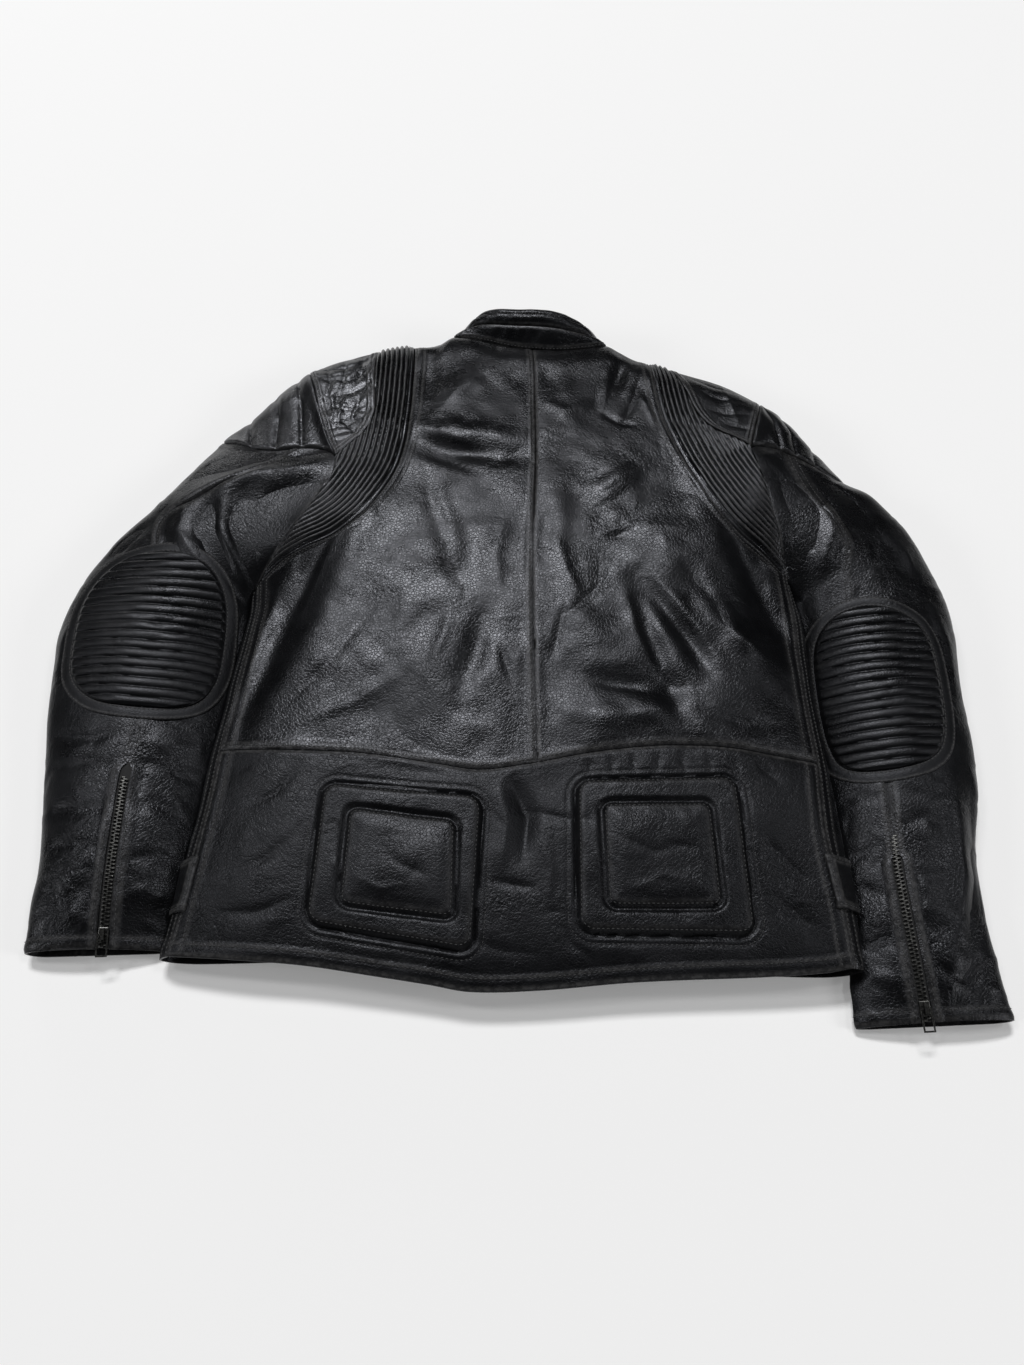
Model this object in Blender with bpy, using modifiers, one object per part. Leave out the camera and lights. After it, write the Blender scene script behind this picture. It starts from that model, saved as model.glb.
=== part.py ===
"""A leather riding jacket laid flat with its back up: every sewn piece is its own closed wall."""

import math

import bmesh
import bpy
import numpy as np
from mathutils import Matrix, Vector

# Sizes in millimetres on the plan: +X to the right, +Y to the collar, +Z up from the surface.
# The tables are in a working frame; ORIGIN is the plan point that becomes the part's origin.
MM = 0.001
ORIGIN = np.array([-3.6, 475.1, 0.0])
WALL = 2.0
SEAM_GAP = 0.34
CURVED_GAP = 0.8
PAD_GAP = 2.1
LAY_GAP = 1.25
PAD_RISE = 3.4
RIB_RISE = 1.5
ELBOW_RISE = 2.6

# Middle height of the back above the surface. Columns: y, z.
BACK_LEVEL = [
    (120, 24), (150, 28), (180, 34), (250, 39), (330, 42),
    (420, 47), (520, 53), (640, 56), (780, 57), (860, 57),
]
# Side seams on the back. Columns: x, y.
SEAM_LEFT = [
    (-255, 176), (-248, 222), (-244, 261), (-240, 300), (-237, 340),
    (-233, 379), (-229, 419), (-226, 454), (-225, 482), (-228, 508),
]
SEAM_RIGHT = [
    (249, 166), (247, 208), (244, 238), (242, 268), (243, 298),
    (245, 327), (244, 389), (245, 430), (247, 470), (245, 512),
]
# Outermost line of the body below the arms. Columns: x, y, z.
EDGE_LEFT = [
    (-264, 176, 14), (-257, 222, 16), (-254, 261, 18), (-251, 300, 19), (-248, 340, 20),
    (-244, 379, 20), (-240, 419, 20), (-237, 454, 19), (-235, 482, 18), (-236, 500, 17),
]
EDGE_RIGHT = [
    (260, 166, 22), (260, 208, 23), (259, 238, 23), (259, 268, 23), (258, 298, 23),
    (257, 327, 23), (254, 389, 22), (256, 430, 21), (257, 470, 20), (252, 500, 18),
]
# Where the top starts to fall to each side, above the underarm too. Columns: y, x.
FALL_LEFT = [(120, -257), (300, -240), (420, -229), (508, -228), (560, -262), (640, -310), (800, -360)]
FALL_RIGHT = [(120, 250), (300, 243), (420, 244), (512, 246), (560, 275), (640, 310), (800, 350)]
FALL_DROP_LEFT = [(120, 6), (250, 9), (340, 9), (420, 13), (508, 25), (640, 25), (800, 25)]
FALL_DROP_RIGHT = [(120, 0), (208, 0), (340, 6), (430, 12), (512, 21), (640, 21), (800, 21)]
FALL_WIDTH = 80.0
# Shoulder seams at the top edge of the back. Columns: x, y.
SHOULDER_LEFT = [
    (-202, 749), (-181, 760), (-160, 769), (-135, 777), (-115, 782),
    (-100, 784), (-76, 788), (-60, 800),
]
SHOULDER_RIGHT = [
    (242, 706), (226, 719), (201, 735), (173, 746), (157, 752),
    (138, 761), (122, 769), (109, 779), (96, 788),
]
SHOULDER_FALL = 34.0
SHOULDER_DROP = 10.0
# Centre back seam and the seam over the kidney panel. Columns: x, y.
CENTRE = [(20, 783), (22, 745), (22, 709), (22, 631), (19, 553), (18, 477), (19, 400), (20, 326)]
KIDNEY_LEFT = [(-237, 340), (-179, 337), (-119, 334), (-60, 325), (-25, 320), (20, 326)]
KIDNEY_RIGHT = [(20, 326), (60, 334), (99, 339), (139, 341), (179, 338), (214, 332), (245, 327)]
HEM_BACK = [
    (-255, 176), (-203, 172), (-152, 168), (-102, 161), (-61, 155), (-30, 150), (20, 151),
    (81, 156), (122, 158), (182, 160), (230, 163), (249, 166),
]
# Stretch strips down the back of each armhole: edge on the body, then edge on the arm. Columns: x, y.
STRIP_BODY_LEFT = [
    (-99, 784), (-97, 760), (-97, 731), (-98, 690), (-101, 651), (-107, 619), (-119, 590),
    (-135, 565), (-156, 546), (-185, 531), (-207, 521), (-228, 508),
]
STRIP_BODY_RIGHT = [
    (138, 761), (141, 713), (145, 681), (153, 651), (163, 621), (176, 592), (191, 565),
    (204, 548), (216, 536), (230, 524), (245, 512),
]
STRIP_PATCH_LEFT = [
    (-135, 777), (-135, 733), (-132, 700), (-134, 680), (-142, 661),
    (-152, 649), (-165, 634),
]
STRIP_PATCH_RIGHT = [
    (160, 751), (166, 733), (172, 714), (177, 693), (186, 674),
    (198, 663), (213, 654), (225, 645),
]
# Armhole seam below the shoulder patch, from the patch corner to the underarm. Columns: x, y.
ARM_LOW_LEFT = [
    (-165, 634), (-166, 617), (-173, 597), (-187, 569), (-205, 539),
    (-228, 508),
]
ARM_LOW_RIGHT = [
    (225, 645), (231, 618), (236, 588), (240, 560), (243, 534),
    (245, 512),
]
# Armhole seam beside the shoulder patch, from the patch corner up to the shoulder. Columns: x, y.
ARM_TOP_LEFT = [(-165, 634), (-174, 655), (-184, 685), (-195, 726), (-202, 749)]
ARM_TOP_RIGHT = [(225, 645), (230, 663), (237, 687), (242, 706)]
# Seam under the shoulder pad, from the patch corner to the outer edge of the arm. Columns: x, y, z.
PAD_LOW_LEFT = [
    (-165, 634, 50), (-178, 644, 52), (-200, 646, 52), (-226, 645, 50), (-245, 650, 47),
    (-264, 662, 41), (-284, 674, 28),
]
PAD_LOW_RIGHT = [
    (225, 645, 50), (238, 648, 52), (250, 645, 52), (264, 639, 50), (280, 631, 47),
    (296, 622, 42), (318, 618, 28),
]
# Rings of each sleeve below the shoulder pad. Columns: outer x, y, z; inner x, y, z; crown z.
RINGS_LEFT = [
    (-309, 634, 26, -234, 484, 12, 51),
    (-338, 592, 24, -232, 470, 8, 48),
    (-366, 555, 23, -233, 458, 7, 46),
    (-388, 506, 23, -235, 444, 6, 44),
    (-398, 456, 22, -237, 420, 6, 43),
    (-393, 407, 21, -240, 388, 6, 41),
    (-387, 362, 19, -244, 350, 6, 38),
    (-381, 315, 17, -247, 308, 6, 36),
    (-372, 265, 15, -251, 262, 6, 33),
    (-369, 222, 14, -256, 222, 5, 29),
    (-367, 181, 11, -261, 184, 5, 21),
]
RINGS_RIGHT = [
    (334, 601, 26, 252, 486, 12, 51),
    (358, 566, 24, 253, 470, 8, 48),
    (376, 530, 23, 256, 454, 7, 46),
    (387, 488, 22, 256, 436, 6, 44),
    (389, 452, 21, 255, 410, 6, 42),
    (384, 405, 20, 255, 378, 6, 40),
    (382, 355, 19, 257, 335, 6, 38),
    (377, 306, 17, 258, 290, 6, 36),
    (366, 262, 15, 258, 245, 6, 33),
    (362, 212, 14, 256, 200, 6, 30),
    (364, 170, 12, 253, 160, 6, 26),
    (367, 133, 10, 252, 128, 6, 20),
]
# Back-arm seam from the pad seam to the cuff. Columns: x, y.
ARM_SEAM_LEFT = [
    (-200, 646), (-213, 612), (-238, 603), (-267, 594), (-298, 585), (-319, 572), (-318, 540),
    (-314, 460), (-309, 376), (-308, 340), (-310, 300), (-308, 243), (-306, 178),
]
ARM_SEAM_RIGHT = [
    (264, 639), (273, 626), (288, 598), (295, 574), (297, 536), (296, 470), (300, 400),
    (301, 320), (299, 290), (297, 262), (297, 200), (300, 130),
]
SLEEVES = {
    "left": {"zip_from": 0.69, "zip_half": 4.6},
    "right": {"zip_from": 0.74, "zip_half": 4.6},
}
# Elbow pads. Columns of the outline: x, y, all round from the top.
PAD_OUT_LEFT = [
    (-308, 529), (-350, 519), (-373, 486), (-375, 440), (-369, 405), (-345, 383), (-306, 377),
    (-270, 384), (-255, 408), (-252, 448), (-255, 490), (-273, 518),
]
PAD_OUT_RIGHT = [
    (312, 474), (342, 462), (356, 440), (358, 400), (352, 352), (335, 330), (302, 322),
    (274, 328), (264, 352), (262, 400), (266, 446), (282, 468),
]
RING_WIDTH = 9.0
RIBS_ELBOW = 17
# Kidney pads: outer panel then inner panel, corner by corner. Columns: left, right, bottom, top.
KIDNEY_PADS = [(-153, -21, 186, 300, -131, -42, 208, 280), (47, 180, 187, 312, 69, 157, 208, 287)]
# Largest folds of the back. Columns: x, y at start, middle and end; half width; height.
FOLDS = [
    (-95, 652, -60, 640, 12, 632, 12, -4.5),
    (-92, 672, -45, 661, 8, 652, 12, 2.5),
    (-78, 612, -58, 550, -42, 478, 13, -3.0),
    (-22, 468, -32, 425, -46, 378, 12, -3.5),
    (-163, 543, -184, 480, -222, 376, 15, -7.0),
    (112, 500, 146, 446, 164, 408, 10, -4.5),
    (106, 490, 118, 430, 144, 342, 10, -3.5),
    (198, 556, 214, 500, 236, 424, 13, -7.0),
    (78, 590, 98, 606, 118, 620, 10, 3.5),
    (88, 540, 96, 546, 104, 551, 9, -4.0),
    (112, 758, 106, 740, 100, 716, 9, -5.0),
    (-82, 772, -84, 740, -78, 700, 12, -3.5),
    (2, 312, 12, 282, 8, 248, 9, -3.5),
]
# Lower layer round each armhole, from the underarm seam to the shoulder point. Columns: x, y, z.
ARM_UNDER_LEFT = [
    (-228, 508, 26), (-236, 500, 17), (-235, 503, 7), (-224, 517, 1), (-206, 541, 0),
    (-188, 572, 0), (-174, 604, 0), (-165, 634, 0), (-176, 664, 0), (-190, 694, 0),
    (-198, 727, 1.5), (-204, 749, 10), (-207, 756, 27), (-202, 749, 41),
]
ARM_UNDER_RIGHT = [
    (245, 512, 31), (252, 500, 18), (251, 504, 8), (247, 518, 1), (244, 545, 0),
    (239, 575, 0), (232, 612, 0), (225, 645, 0), (230, 661, 0), (235, 675, 0),
    (239, 688, 1.5), (244, 706, 10), (247, 713, 27), (242, 706, 41),
]
CORNER_ROW = 7
CORNER_STOP = 7
# Where rows 0 to 8 of the lower layer meet the centre front. Column: y.
FRONT_END_Y = {
    "left": (497, 501, 507, 519, 541, 572, 604, 636, 672),
    "right": (500, 504, 510, 522, 546, 575, 612, 646, 674),
}
# Underside of the shoulder pad's lower seam, from the patch corner out to the arm's edge.
PAD_UNDER_LEFT = [(-165, 634, 0), (-200, 646, 0), (-245, 654, 0), (-272, 666, 6), (-284, 674, 28)]
PAD_UNDER_RIGHT = [(225, 645, 0), (250, 646, 0), (276, 636, 0), (304, 624, 6), (318, 618, 28)]
# Collar sections round the neck. Columns: neck x, y, z; groove x, y, z; top x, y, z.
COLLAR = [
    (13, 744, 0, 10, 768, 1, 8, 786, 3),
    (-16, 753, 0, -18, 778, 1, -16, 800, 3),
    (-44, 774, 3, -40, 797, 5, -32, 812, 8),
    (-67, 801, 24, -54, 816, 28, -38, 827, 34),
    (-60, 800, 45, -45, 812, 48, -30, 825, 52),
    (-45, 799, 49, -36, 811, 54, -24, 825, 59),
    (-30, 795, 52, -24, 808, 58, -14, 823, 64),
    (0, 786, 55, 4, 803, 61, 8, 819, 67),
    (20, 783, 56, 22, 801, 62, 22, 818, 68),
    (49, 781, 55, 46, 799, 61, 40, 818, 66),
    (75, 784, 50, 66, 797, 57, 54, 817, 61),
    (96, 788, 44, 82, 797, 50, 68, 813, 54),
    (104, 790, 24, 92, 804, 27, 76, 815, 32),
    (82, 770, 3, 76, 792, 4, 64, 806, 7),
    (56, 753, 0, 55, 777, 1, 50, 798, 3),
    (27, 744, 0, 30, 768, 1, 32, 786, 3),
]
# Rows of the collar at the left shoulder, the centre back and the right shoulder.
BACK_NECK = (4, 8, 11)
# Hidden lower layer: centre front line, hem and neck. Columns: x, y.
CENTRE_FRONT = 20.0
ZIP_HALF = 7.0
FRONT_HEM_SET_BACK = 7.0
# Zip parts: chain height over the tape, slider body, wire pull.
CHAIN_RISE = 1.5
FRONT_SLIDER_Y = 733.0
SLIDER_SIZE = (7.6, 11.0, 2.0)
PULL_WIDTH = 8.4
PULL_LENGTH = 17.0
PULL_WIRE = 1.2
TAB_Y = (208.0, 250.0)
TAB_STOPS = (0.0, 0.5, 1.0, 1.5)
# Positions where neighbouring pieces share the points of a seam.
STRIP_STOPS = np.linspace(0.0, 1.0, 10)
PATCH_STOPS = np.linspace(0.0, 1.0, 5)
ARM_STOPS = np.linspace(0.0, 1.0, 6)
ARM_TOP_STOPS = np.linspace(0.03, 1.0, 5)
PAD_STOPS = np.array([0, 0.1, 0.2, 0.3, 0.425, 0.55, 0.665, 0.78, 0.87, 0.96])
STRIP_TIP = 0.3
TIP_SHARE = 0.001
ELBOW_STOPS = 6
PAD_UNDER_PICKS = [9, 8, 7, 6, 5, 4, 2]
STRIP_RIBS = {"left": 12, "right": 13}

LEATHER = (0.012, 0.012, 0.013, 1.0)


def clear_scene():
    for thing in list(bpy.data.objects):
        bpy.data.objects.remove(thing, do_unlink=True)


def slopes(keys, values):
    """Slopes of a smooth line through the rows, flat where the values turn."""
    step = np.diff(keys)
    rise = np.diff(values, axis=0) / step[:, None]
    inside = np.where(rise[1:] * rise[:-1] > 0, 1.0, 0.0)
    blend = 2.0 * rise[1:] * rise[:-1] / np.where(inside > 0, rise[1:] + rise[:-1], 1.0)
    middle = np.where(inside > 0, blend, 0.0)
    return np.concatenate([rise[:1], middle, rise[-1:]])


def through(keys, values, at):
    """Smooth values at each position of a table whose keys rise."""
    keys = np.asarray(keys, float)
    values = np.asarray(values, float)
    flat = values.ndim == 1
    values = values[:, None] if flat else values
    at = np.clip(np.asarray(at, float), keys[0], keys[-1])
    lean = slopes(keys, values)
    row = np.clip(np.searchsorted(keys, at, side="right") - 1, 0, len(keys) - 2)
    span = (keys[row + 1] - keys[row])[..., None]
    t = ((at - keys[row])[..., None]) / span
    low, high = values[row], values[row + 1]
    found = (
        low * (1 + 2 * t) * (1 - t) ** 2
        + high * t * t * (3 - 2 * t)
        + lean[row] * span * t * (1 - t) ** 2
        - lean[row + 1] * span * t * t * (1 - t)
    )
    return found[..., 0] if flat else found


def column(table, at):
    rows = np.array(table, float)
    return through(rows[:, 0], rows[:, 1], at)


def reach(rows):
    """Distance along a line of points, from 0 to 1."""
    rows = np.asarray(rows, float)
    steps = np.linalg.norm(np.diff(rows[:, :2], axis=0), axis=1)
    steps = np.hypot(steps, np.diff(rows[:, 2]) if rows.shape[1] > 2 else 0.0)
    along = np.concatenate([[0.0], np.cumsum(steps)])
    return along / along[-1]


def line(rows):
    """A smooth curve through the rows, as a function of 0 to 1."""
    rows = np.array(rows, float)
    keys = reach(rows)
    return lambda t: rounded(keys, rows, t)


def rounded(keys, rows, at):
    """Rounded curve through points on the plan, which may turn any way."""
    at = np.clip(np.asarray(at, float), 0.0, 1.0)
    ahead = np.empty_like(rows)
    ahead[1:-1] = (rows[2:] - rows[:-2]) / (keys[2:] - keys[:-2])[:, None]
    ahead[0] = (rows[1] - rows[0]) / (keys[1] - keys[0])
    ahead[-1] = (rows[-1] - rows[-2]) / (keys[-1] - keys[-2])
    row = np.clip(np.searchsorted(keys, at, side="right") - 1, 0, len(keys) - 2)
    span = (keys[row + 1] - keys[row])[..., None]
    t = (at - keys[row])[..., None] / span
    return (
        rows[row] * (1 + 2 * t) * (1 - t) ** 2
        + rows[row + 1] * t * t * (3 - 2 * t)
        + ahead[row] * span * t * (1 - t) ** 2
        - ahead[row + 1] * span * t * t * (1 - t)
    )


def unit(v):
    return v / np.maximum(np.linalg.norm(v, axis=-1, keepdims=True), 1e-9)


def fade(distance, width, power=2.2):
    return np.clip(1.0 - distance / width, 0.0, 1.0) ** power


def shoulder_y(x):
    neck = [row[:2] for row in COLLAR[BACK_NECK[0] : BACK_NECK[2] + 1]]
    rows = sorted(SHOULDER_LEFT[:-1] + neck + SHOULDER_RIGHT[:-1])
    keys = [row[0] for row in rows]
    return through(keys, [row[1] for row in rows], x)


def fold_height(x, y):
    """Sum of the soft folds, each a bent line that fades at both ends."""
    total = np.zeros_like(x)
    for x0, y0, x1, y1, x2, y2, width, height in FOLDS:
        best = np.full_like(x, 1e9)
        where = np.zeros_like(x)
        for number, (ax, ay, bx, by) in enumerate(((x0, y0, x1, y1), (x1, y1, x2, y2))):
            dx, dy = bx - ax, by - ay
            t = np.clip(((x - ax) * dx + (y - ay) * dy) / (dx * dx + dy * dy), 0, 1)
            far = np.hypot(x - ax - t * dx, y - ay - t * dy)
            where = np.where(far < best, 0.5 * (number + t), where)
            best = np.minimum(far, best)
        total += height * np.exp(-((best / width) ** 2)) * (0.25 + 0.75 * np.sin(np.pi * where))
    return total


def back_z(x, y):
    """Height of the top layer of the body over the surface."""
    level = column(BACK_LEVEL, y)
    left = fade(x - column(FALL_LEFT, y), FALL_WIDTH) * column(FALL_DROP_LEFT, y)
    right = fade(column(FALL_RIGHT, y) - x, FALL_WIDTH) * column(FALL_DROP_RIGHT, y)
    top = fade(shoulder_y(x) - y, SHOULDER_FALL) * SHOULDER_DROP
    return level - left - right - top + fold_height(x, y)


def lift(plan):
    """Plan points set on the back's height."""
    plan = np.asarray(plan, float)[..., :2]
    z = back_z(plan[..., 0], plan[..., 1])
    return np.concatenate([plan, z[..., None]], axis=-1)


def lean(points):
    """Direction that a wall on the top layer of the body is built along, the same on both sides of a seam."""
    x, y = points[..., 0], points[..., 1]
    tilt = 0.6
    gx = fade(column(FALL_RIGHT, y) - x, 60.0, 1.5) - fade(x - column(FALL_LEFT, y), 60.0, 1.5)
    gy = fade(shoulder_y(x) - y, 30.0, 1.5)
    return unit(np.stack([tilt * gx, tilt * gy, np.ones_like(x)], axis=-1))


def spread(count, start=0.0, end=1.0):
    return np.linspace(start, end, count)


def joined(*runs):
    """Runs of positions put end to end, each sharing its first with the one before."""
    return np.concatenate([runs[0]] + [run[1:] for run in runs[1:]])


def fill(low, high, start, end):
    """A sheet of points between four lines: low and high run along it, start and end across."""
    rows, cols = len(low), len(start)
    a = reach_mean(low, high)[:, None, None]
    b = reach_mean(start, end)[None, :, None]
    along = low[:, None] * (1 - b) + high[:, None] * b
    across = start[None] * (1 - a) + end[None] * a
    corner = (
        low[0] * (1 - a) * (1 - b) + low[-1] * a * (1 - b) + high[0] * (1 - a) * b + high[-1] * a * b
    )
    assert along.shape[:2] == (rows, cols)
    return along + across - corner


def reach_mean(first, second):
    return 0.5 * (reach(first) + reach(second))


def drawn_in(points, amount, wrap=False):
    """The sheet with each open side moved in by an amount, square to that side."""
    moved = points.copy()
    sides = [((slice(None), 0), (slice(None), 1)), ((slice(None), -1), (slice(None), -2))]
    if not wrap:
        sides += [((0,), (1,)), ((-1,), (-2,))]
    for side, inner in sides:
        edge = points[side]
        along = unit(np.gradient(edge, axis=0))
        inward = points[inner] - edge
        inward = inward - (inward * along).sum(-1, keepdims=True) * along
        moved[side] = moved[side] + unit(inward) * amount
    return moved


def sheet_normals(points, wrap=False):
    if wrap:
        padded = np.concatenate([points[-2:-1], points, points[1:2]])
        da = (padded[2:] - padded[:-2])
    else:
        da = np.gradient(points, axis=0)
    return unit(np.cross(da, np.gradient(points, axis=1)))


def build(name, outer, inner, material, collection, wrap=False):
    """One closed wall between two sheets of points."""
    rows, cols = outer.shape[:2]
    outer = np.concatenate([outer[..., :2], np.maximum(outer[..., 2:], 0.0)], axis=-1)
    steps = rows - 1
    if wrap:
        outer, inner, rows = outer[:-1], inner[:-1], rows - 1
    mesh = bpy.data.meshes.new(name)
    shape = bmesh.new()
    every = (np.concatenate([outer.reshape(-1, 3), inner.reshape(-1, 3)]) - ORIGIN) * MM
    made = [shape.verts.new(Vector(p)) for p in every.tolist()]
    half = rows * cols

    def at(i, j, layer):
        return made[layer * half + (i % rows) * cols + j]

    for i in range(steps):
        for j in range(cols - 1):
            for layer in (0, 1):
                ring = [at(i, j, layer), at(i + 1, j, layer), at(i + 1, j + 1, layer), at(i, j + 1, layer)]
                shape.faces.new(ring if layer == 0 else ring[::-1])
        for j in (0, cols - 1):
            shape.faces.new([at(i, j, 0), at(i + 1, j, 0), at(i + 1, j, 1), at(i, j, 1)])
    if not wrap:
        for i in (0, rows - 1):
            for j in range(cols - 1):
                shape.faces.new([at(i, j, 0), at(i, j + 1, 0), at(i, j + 1, 1), at(i, j, 1)])
    bmesh.ops.recalc_face_normals(shape, faces=shape.faces)
    shape.to_mesh(mesh)
    shape.free()
    thing = bpy.data.objects.new(name, mesh)
    collection.objects.link(thing)
    finish(thing, material)
    return thing


def finish(thing, material):
    thing.data.materials.clear()
    thing.data.materials.append(material)
    for polygon in thing.data.polygons:
        polygon.use_smooth = True
    thing.data.set_sharp_from_angle(angle=math.radians(40))


def paint(name, colour, metallic, roughness):
    material = bpy.data.materials.new(name)
    material.use_nodes = True
    shader = material.node_tree.nodes["Principled BSDF"]
    shader.inputs["Base Color"].default_value = colour
    shader.inputs["Metallic"].default_value = metallic
    shader.inputs["Roughness"].default_value = roughness
    return material


def top_wall(name, sheet, rise, thickness, material, collection, gap=SEAM_GAP):
    """A panel of the body's top layer, from its sheet of outer points and the rise of its padding."""
    sheet = drawn_in(sheet, gap / 2)
    way = lean(sheet)
    outer = sheet + way * rise[..., None]
    inner = sheet - way * thickness
    return build(name, outer, inner, material, collection)


def rounded_box(x, y, left, right, bottom, top, softness):
    """1 well inside a box on the plan and 0 outside it."""
    inside = np.minimum(np.minimum(x - left, right - x), np.minimum(y - bottom, top - y))
    return np.clip(inside / softness, 0.0, 1.0)


def kidney_rise(x, y):
    total = np.zeros_like(x)
    for left, right, bottom, top, left_in, right_in, bottom_in, top_in in KIDNEY_PADS:
        outer = rounded_box(x, y, left, right, bottom, top, 6.0)
        groove = rounded_box(x, y, left_in - 5, right_in + 5, bottom_in - 5, top_in + 5, 5.0)
        core = rounded_box(x, y, left_in, right_in, bottom_in, top_in, 6.0)
        total += PAD_RISE * (outer - groove + core)
    return total


def neck_share(row):
    """Where a row of the collar table lies along the neck seam."""
    return float(reach(np.array(COLLAR, float)[:, :3])[row])


def neck_points(share):
    """The neck seam all round, lying on the back where it borders it."""
    points = line(np.array(COLLAR, float)[:, :3])(share)
    first, last = neck_share(BACK_NECK[0]), neck_share(BACK_NECK[2])
    on_back = (share >= first - 1e-6) & (share <= last + 1e-6)
    points[:, 2] = np.where(on_back, back_z(points[:, 0], points[:, 1]), points[:, 2])
    return points


def back_neck_stops():
    left, middle, right = (neck_share(row) for row in BACK_NECK)
    return spread(7, left, middle), spread(7, middle, right)


def side_stops(side):
    """Positions along a side seam, from the kidney seam up to the underarm."""
    left = side == "left"
    seam = SEAM_LEFT if left else SEAM_RIGHT
    kidney = KIDNEY_LEFT[0] if left else KIDNEY_RIGHT[-1]
    return spread(8, seam_fraction(seam, kidney), 1.0)


def nearest_share(rows, point):
    rows = np.array(rows, float)
    return float(reach(rows)[np.argmin(np.hypot(rows[:, 0] - point[0], rows[:, 1] - point[1]))])


def half_back(side, collection, leather):
    left = side == "left"
    strip = STRIP_BODY_LEFT if left else STRIP_BODY_RIGHT
    shoulder = SHOULDER_LEFT if left else SHOULDER_RIGHT
    kidney = line(KIDNEY_LEFT if left else KIDNEY_RIGHT)
    begin = nearest_share(shoulder, strip[0])
    stops = back_neck_stops()[0] if left else back_neck_stops()[1][::-1]
    top = np.concatenate([line(shoulder)(spread(5, begin, 1.0)), neck_points(stops)[1:, :2]])
    down = side_stops(side)[::-1]
    seam = line(SEAM_LEFT if left else SEAM_RIGHT)
    outer = np.concatenate([line(strip)(STRIP_STOPS), seam(down)[1:]])
    centre = line(CENTRE)(spread(len(outer)))
    low = kidney(spread(len(top))) if left else kidney(spread(len(top)))[::-1]
    sheet = lift(fill(top, low, outer, centre))
    top_wall("back_" + side, sheet, np.zeros(sheet.shape[:2]), WALL, leather, collection)


def kidney(collection, leather):
    across = kidney_columns()
    bars = kidney_bars()
    top = np.concatenate([line(KIDNEY_LEFT)(across[0]), line(KIDNEY_RIGHT)(across[1])[1:]])
    low = line(HEM_BACK)(match_x(HEM_BACK, top[:, 0] * 1.02))
    left = line(SEAM_LEFT)(side_stops("left")[0] * (1 - bars))
    right = line(SEAM_RIGHT)(side_stops("right")[0] * (1 - bars))
    sheet = lift(fill(top, low, left, right))
    rise = kidney_rise(sheet[..., 0], sheet[..., 1])
    top_wall("kidney_panel", sheet, rise, WALL, leather, collection, CURVED_GAP)


def strip_and_patch(side, collection, leather, ribbed):
    left = side == "left"
    strip = STRIP_BODY_LEFT if left else STRIP_BODY_RIGHT
    patch = STRIP_PATCH_LEFT if left else STRIP_PATCH_RIGHT
    arm = ARM_LOW_LEFT if left else ARM_LOW_RIGHT
    arm_top = ARM_TOP_LEFT if left else ARM_TOP_RIGHT
    shoulder = SHOULDER_LEFT if left else SHOULDER_RIGHT
    ribs = STRIP_RIBS[side]
    first, last = nearest_share(shoulder, strip[0]), nearest_share(shoulder, patch[0])
    inner = line(strip)(STRIP_STOPS)
    edge = np.concatenate([line(patch)(PATCH_STOPS), line(arm)(ARM_STOPS)[1:]])
    top = line(shoulder)(spread(2 * ribs + 1, first, last))
    low = inner[-1] + (top - top[0]) * TIP_SHARE
    sheet = lift(fill(inner, edge, top, low))
    sheet[-1] = sheet[-2] + STRIP_TIP * (sheet[-1] - sheet[-2])
    teeth = np.where(np.arange(2 * ribs + 1) % 2, RIB_RISE, 0.0)
    rise = np.broadcast_to(teeth, sheet.shape[:2])
    top_wall("stretch_strip_" + side, sheet, rise, 1.6, ribbed, collection)

    patch_rows = line(patch)(PATCH_STOPS)
    outer_rows = line(arm_top)(ARM_TOP_STOPS[::-1])
    start = line(shoulder)(spread(8, last, 0.0))
    end = patch_rows[-1] + (outer_rows[-1] - patch_rows[-1]) * spread(8)[:, None]
    sheet = lift(fill(patch_rows, outer_rows, start, end))
    top_wall("shoulder_patch_" + side, sheet, np.zeros(sheet.shape[:2]), WALL, leather, collection)


def body_top(collection, leather, ribbed):
    """Back halves, kidney panel, stretch strips and shoulder patches."""
    for side in ("left", "right"):
        half_back(side, collection, leather)
        strip_and_patch(side, collection, leather, ribbed)
    kidney(collection, leather)


def seam_fraction(rows, point):
    rows = np.array(rows, float)
    share = spread(801)
    found = line(rows)(share)
    return float(share[np.argmin(np.hypot(found[:, 0] - point[0], found[:, 1] - point[1]))])


def match_x(rows, wanted):
    share = spread(1201)
    found = line(rows)(share)[:, 0]
    out = np.interp(wanted, found, share)
    out[0], out[-1] = 0.0, 1.0
    return out


def kidney_columns():
    stops_left = [-237, -210, -180, -157, -150, -143, -137, -131, -110, -86, -63, -42, -36, -30,
                  -24, -17, 0, 20]
    stops_right = [20, 43, 50, 57, 63, 69, 90, 113, 136, 157, 163, 169, 176, 183, 204, 225, 245]
    return match_x(KIDNEY_LEFT, np.array(stops_left)), match_x(KIDNEY_RIGHT, np.array(stops_right))


def kidney_bars():
    stops = [332, 316, 306, 298, 291, 285, 279, 262, 240, 218, 208, 201, 195, 188, 180, 166]
    bars = (332 - np.array(stops, float)) / (332 - 166)
    return bars



def on_seam(rows):
    """The armhole's lower line with both its ends on the back's top layer."""
    rows = np.array(rows, float)
    for end in (0, -1):
        rows[end, 2] = back_z(rows[end, 0], rows[end, 1])
    return rows


def pad_seam(rows):
    """The pad seam with its first point on the back's top layer."""
    rows = np.array(rows, float)
    rows[0, 2] = back_z(rows[0, 0], rows[0, 1])
    return rows


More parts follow.
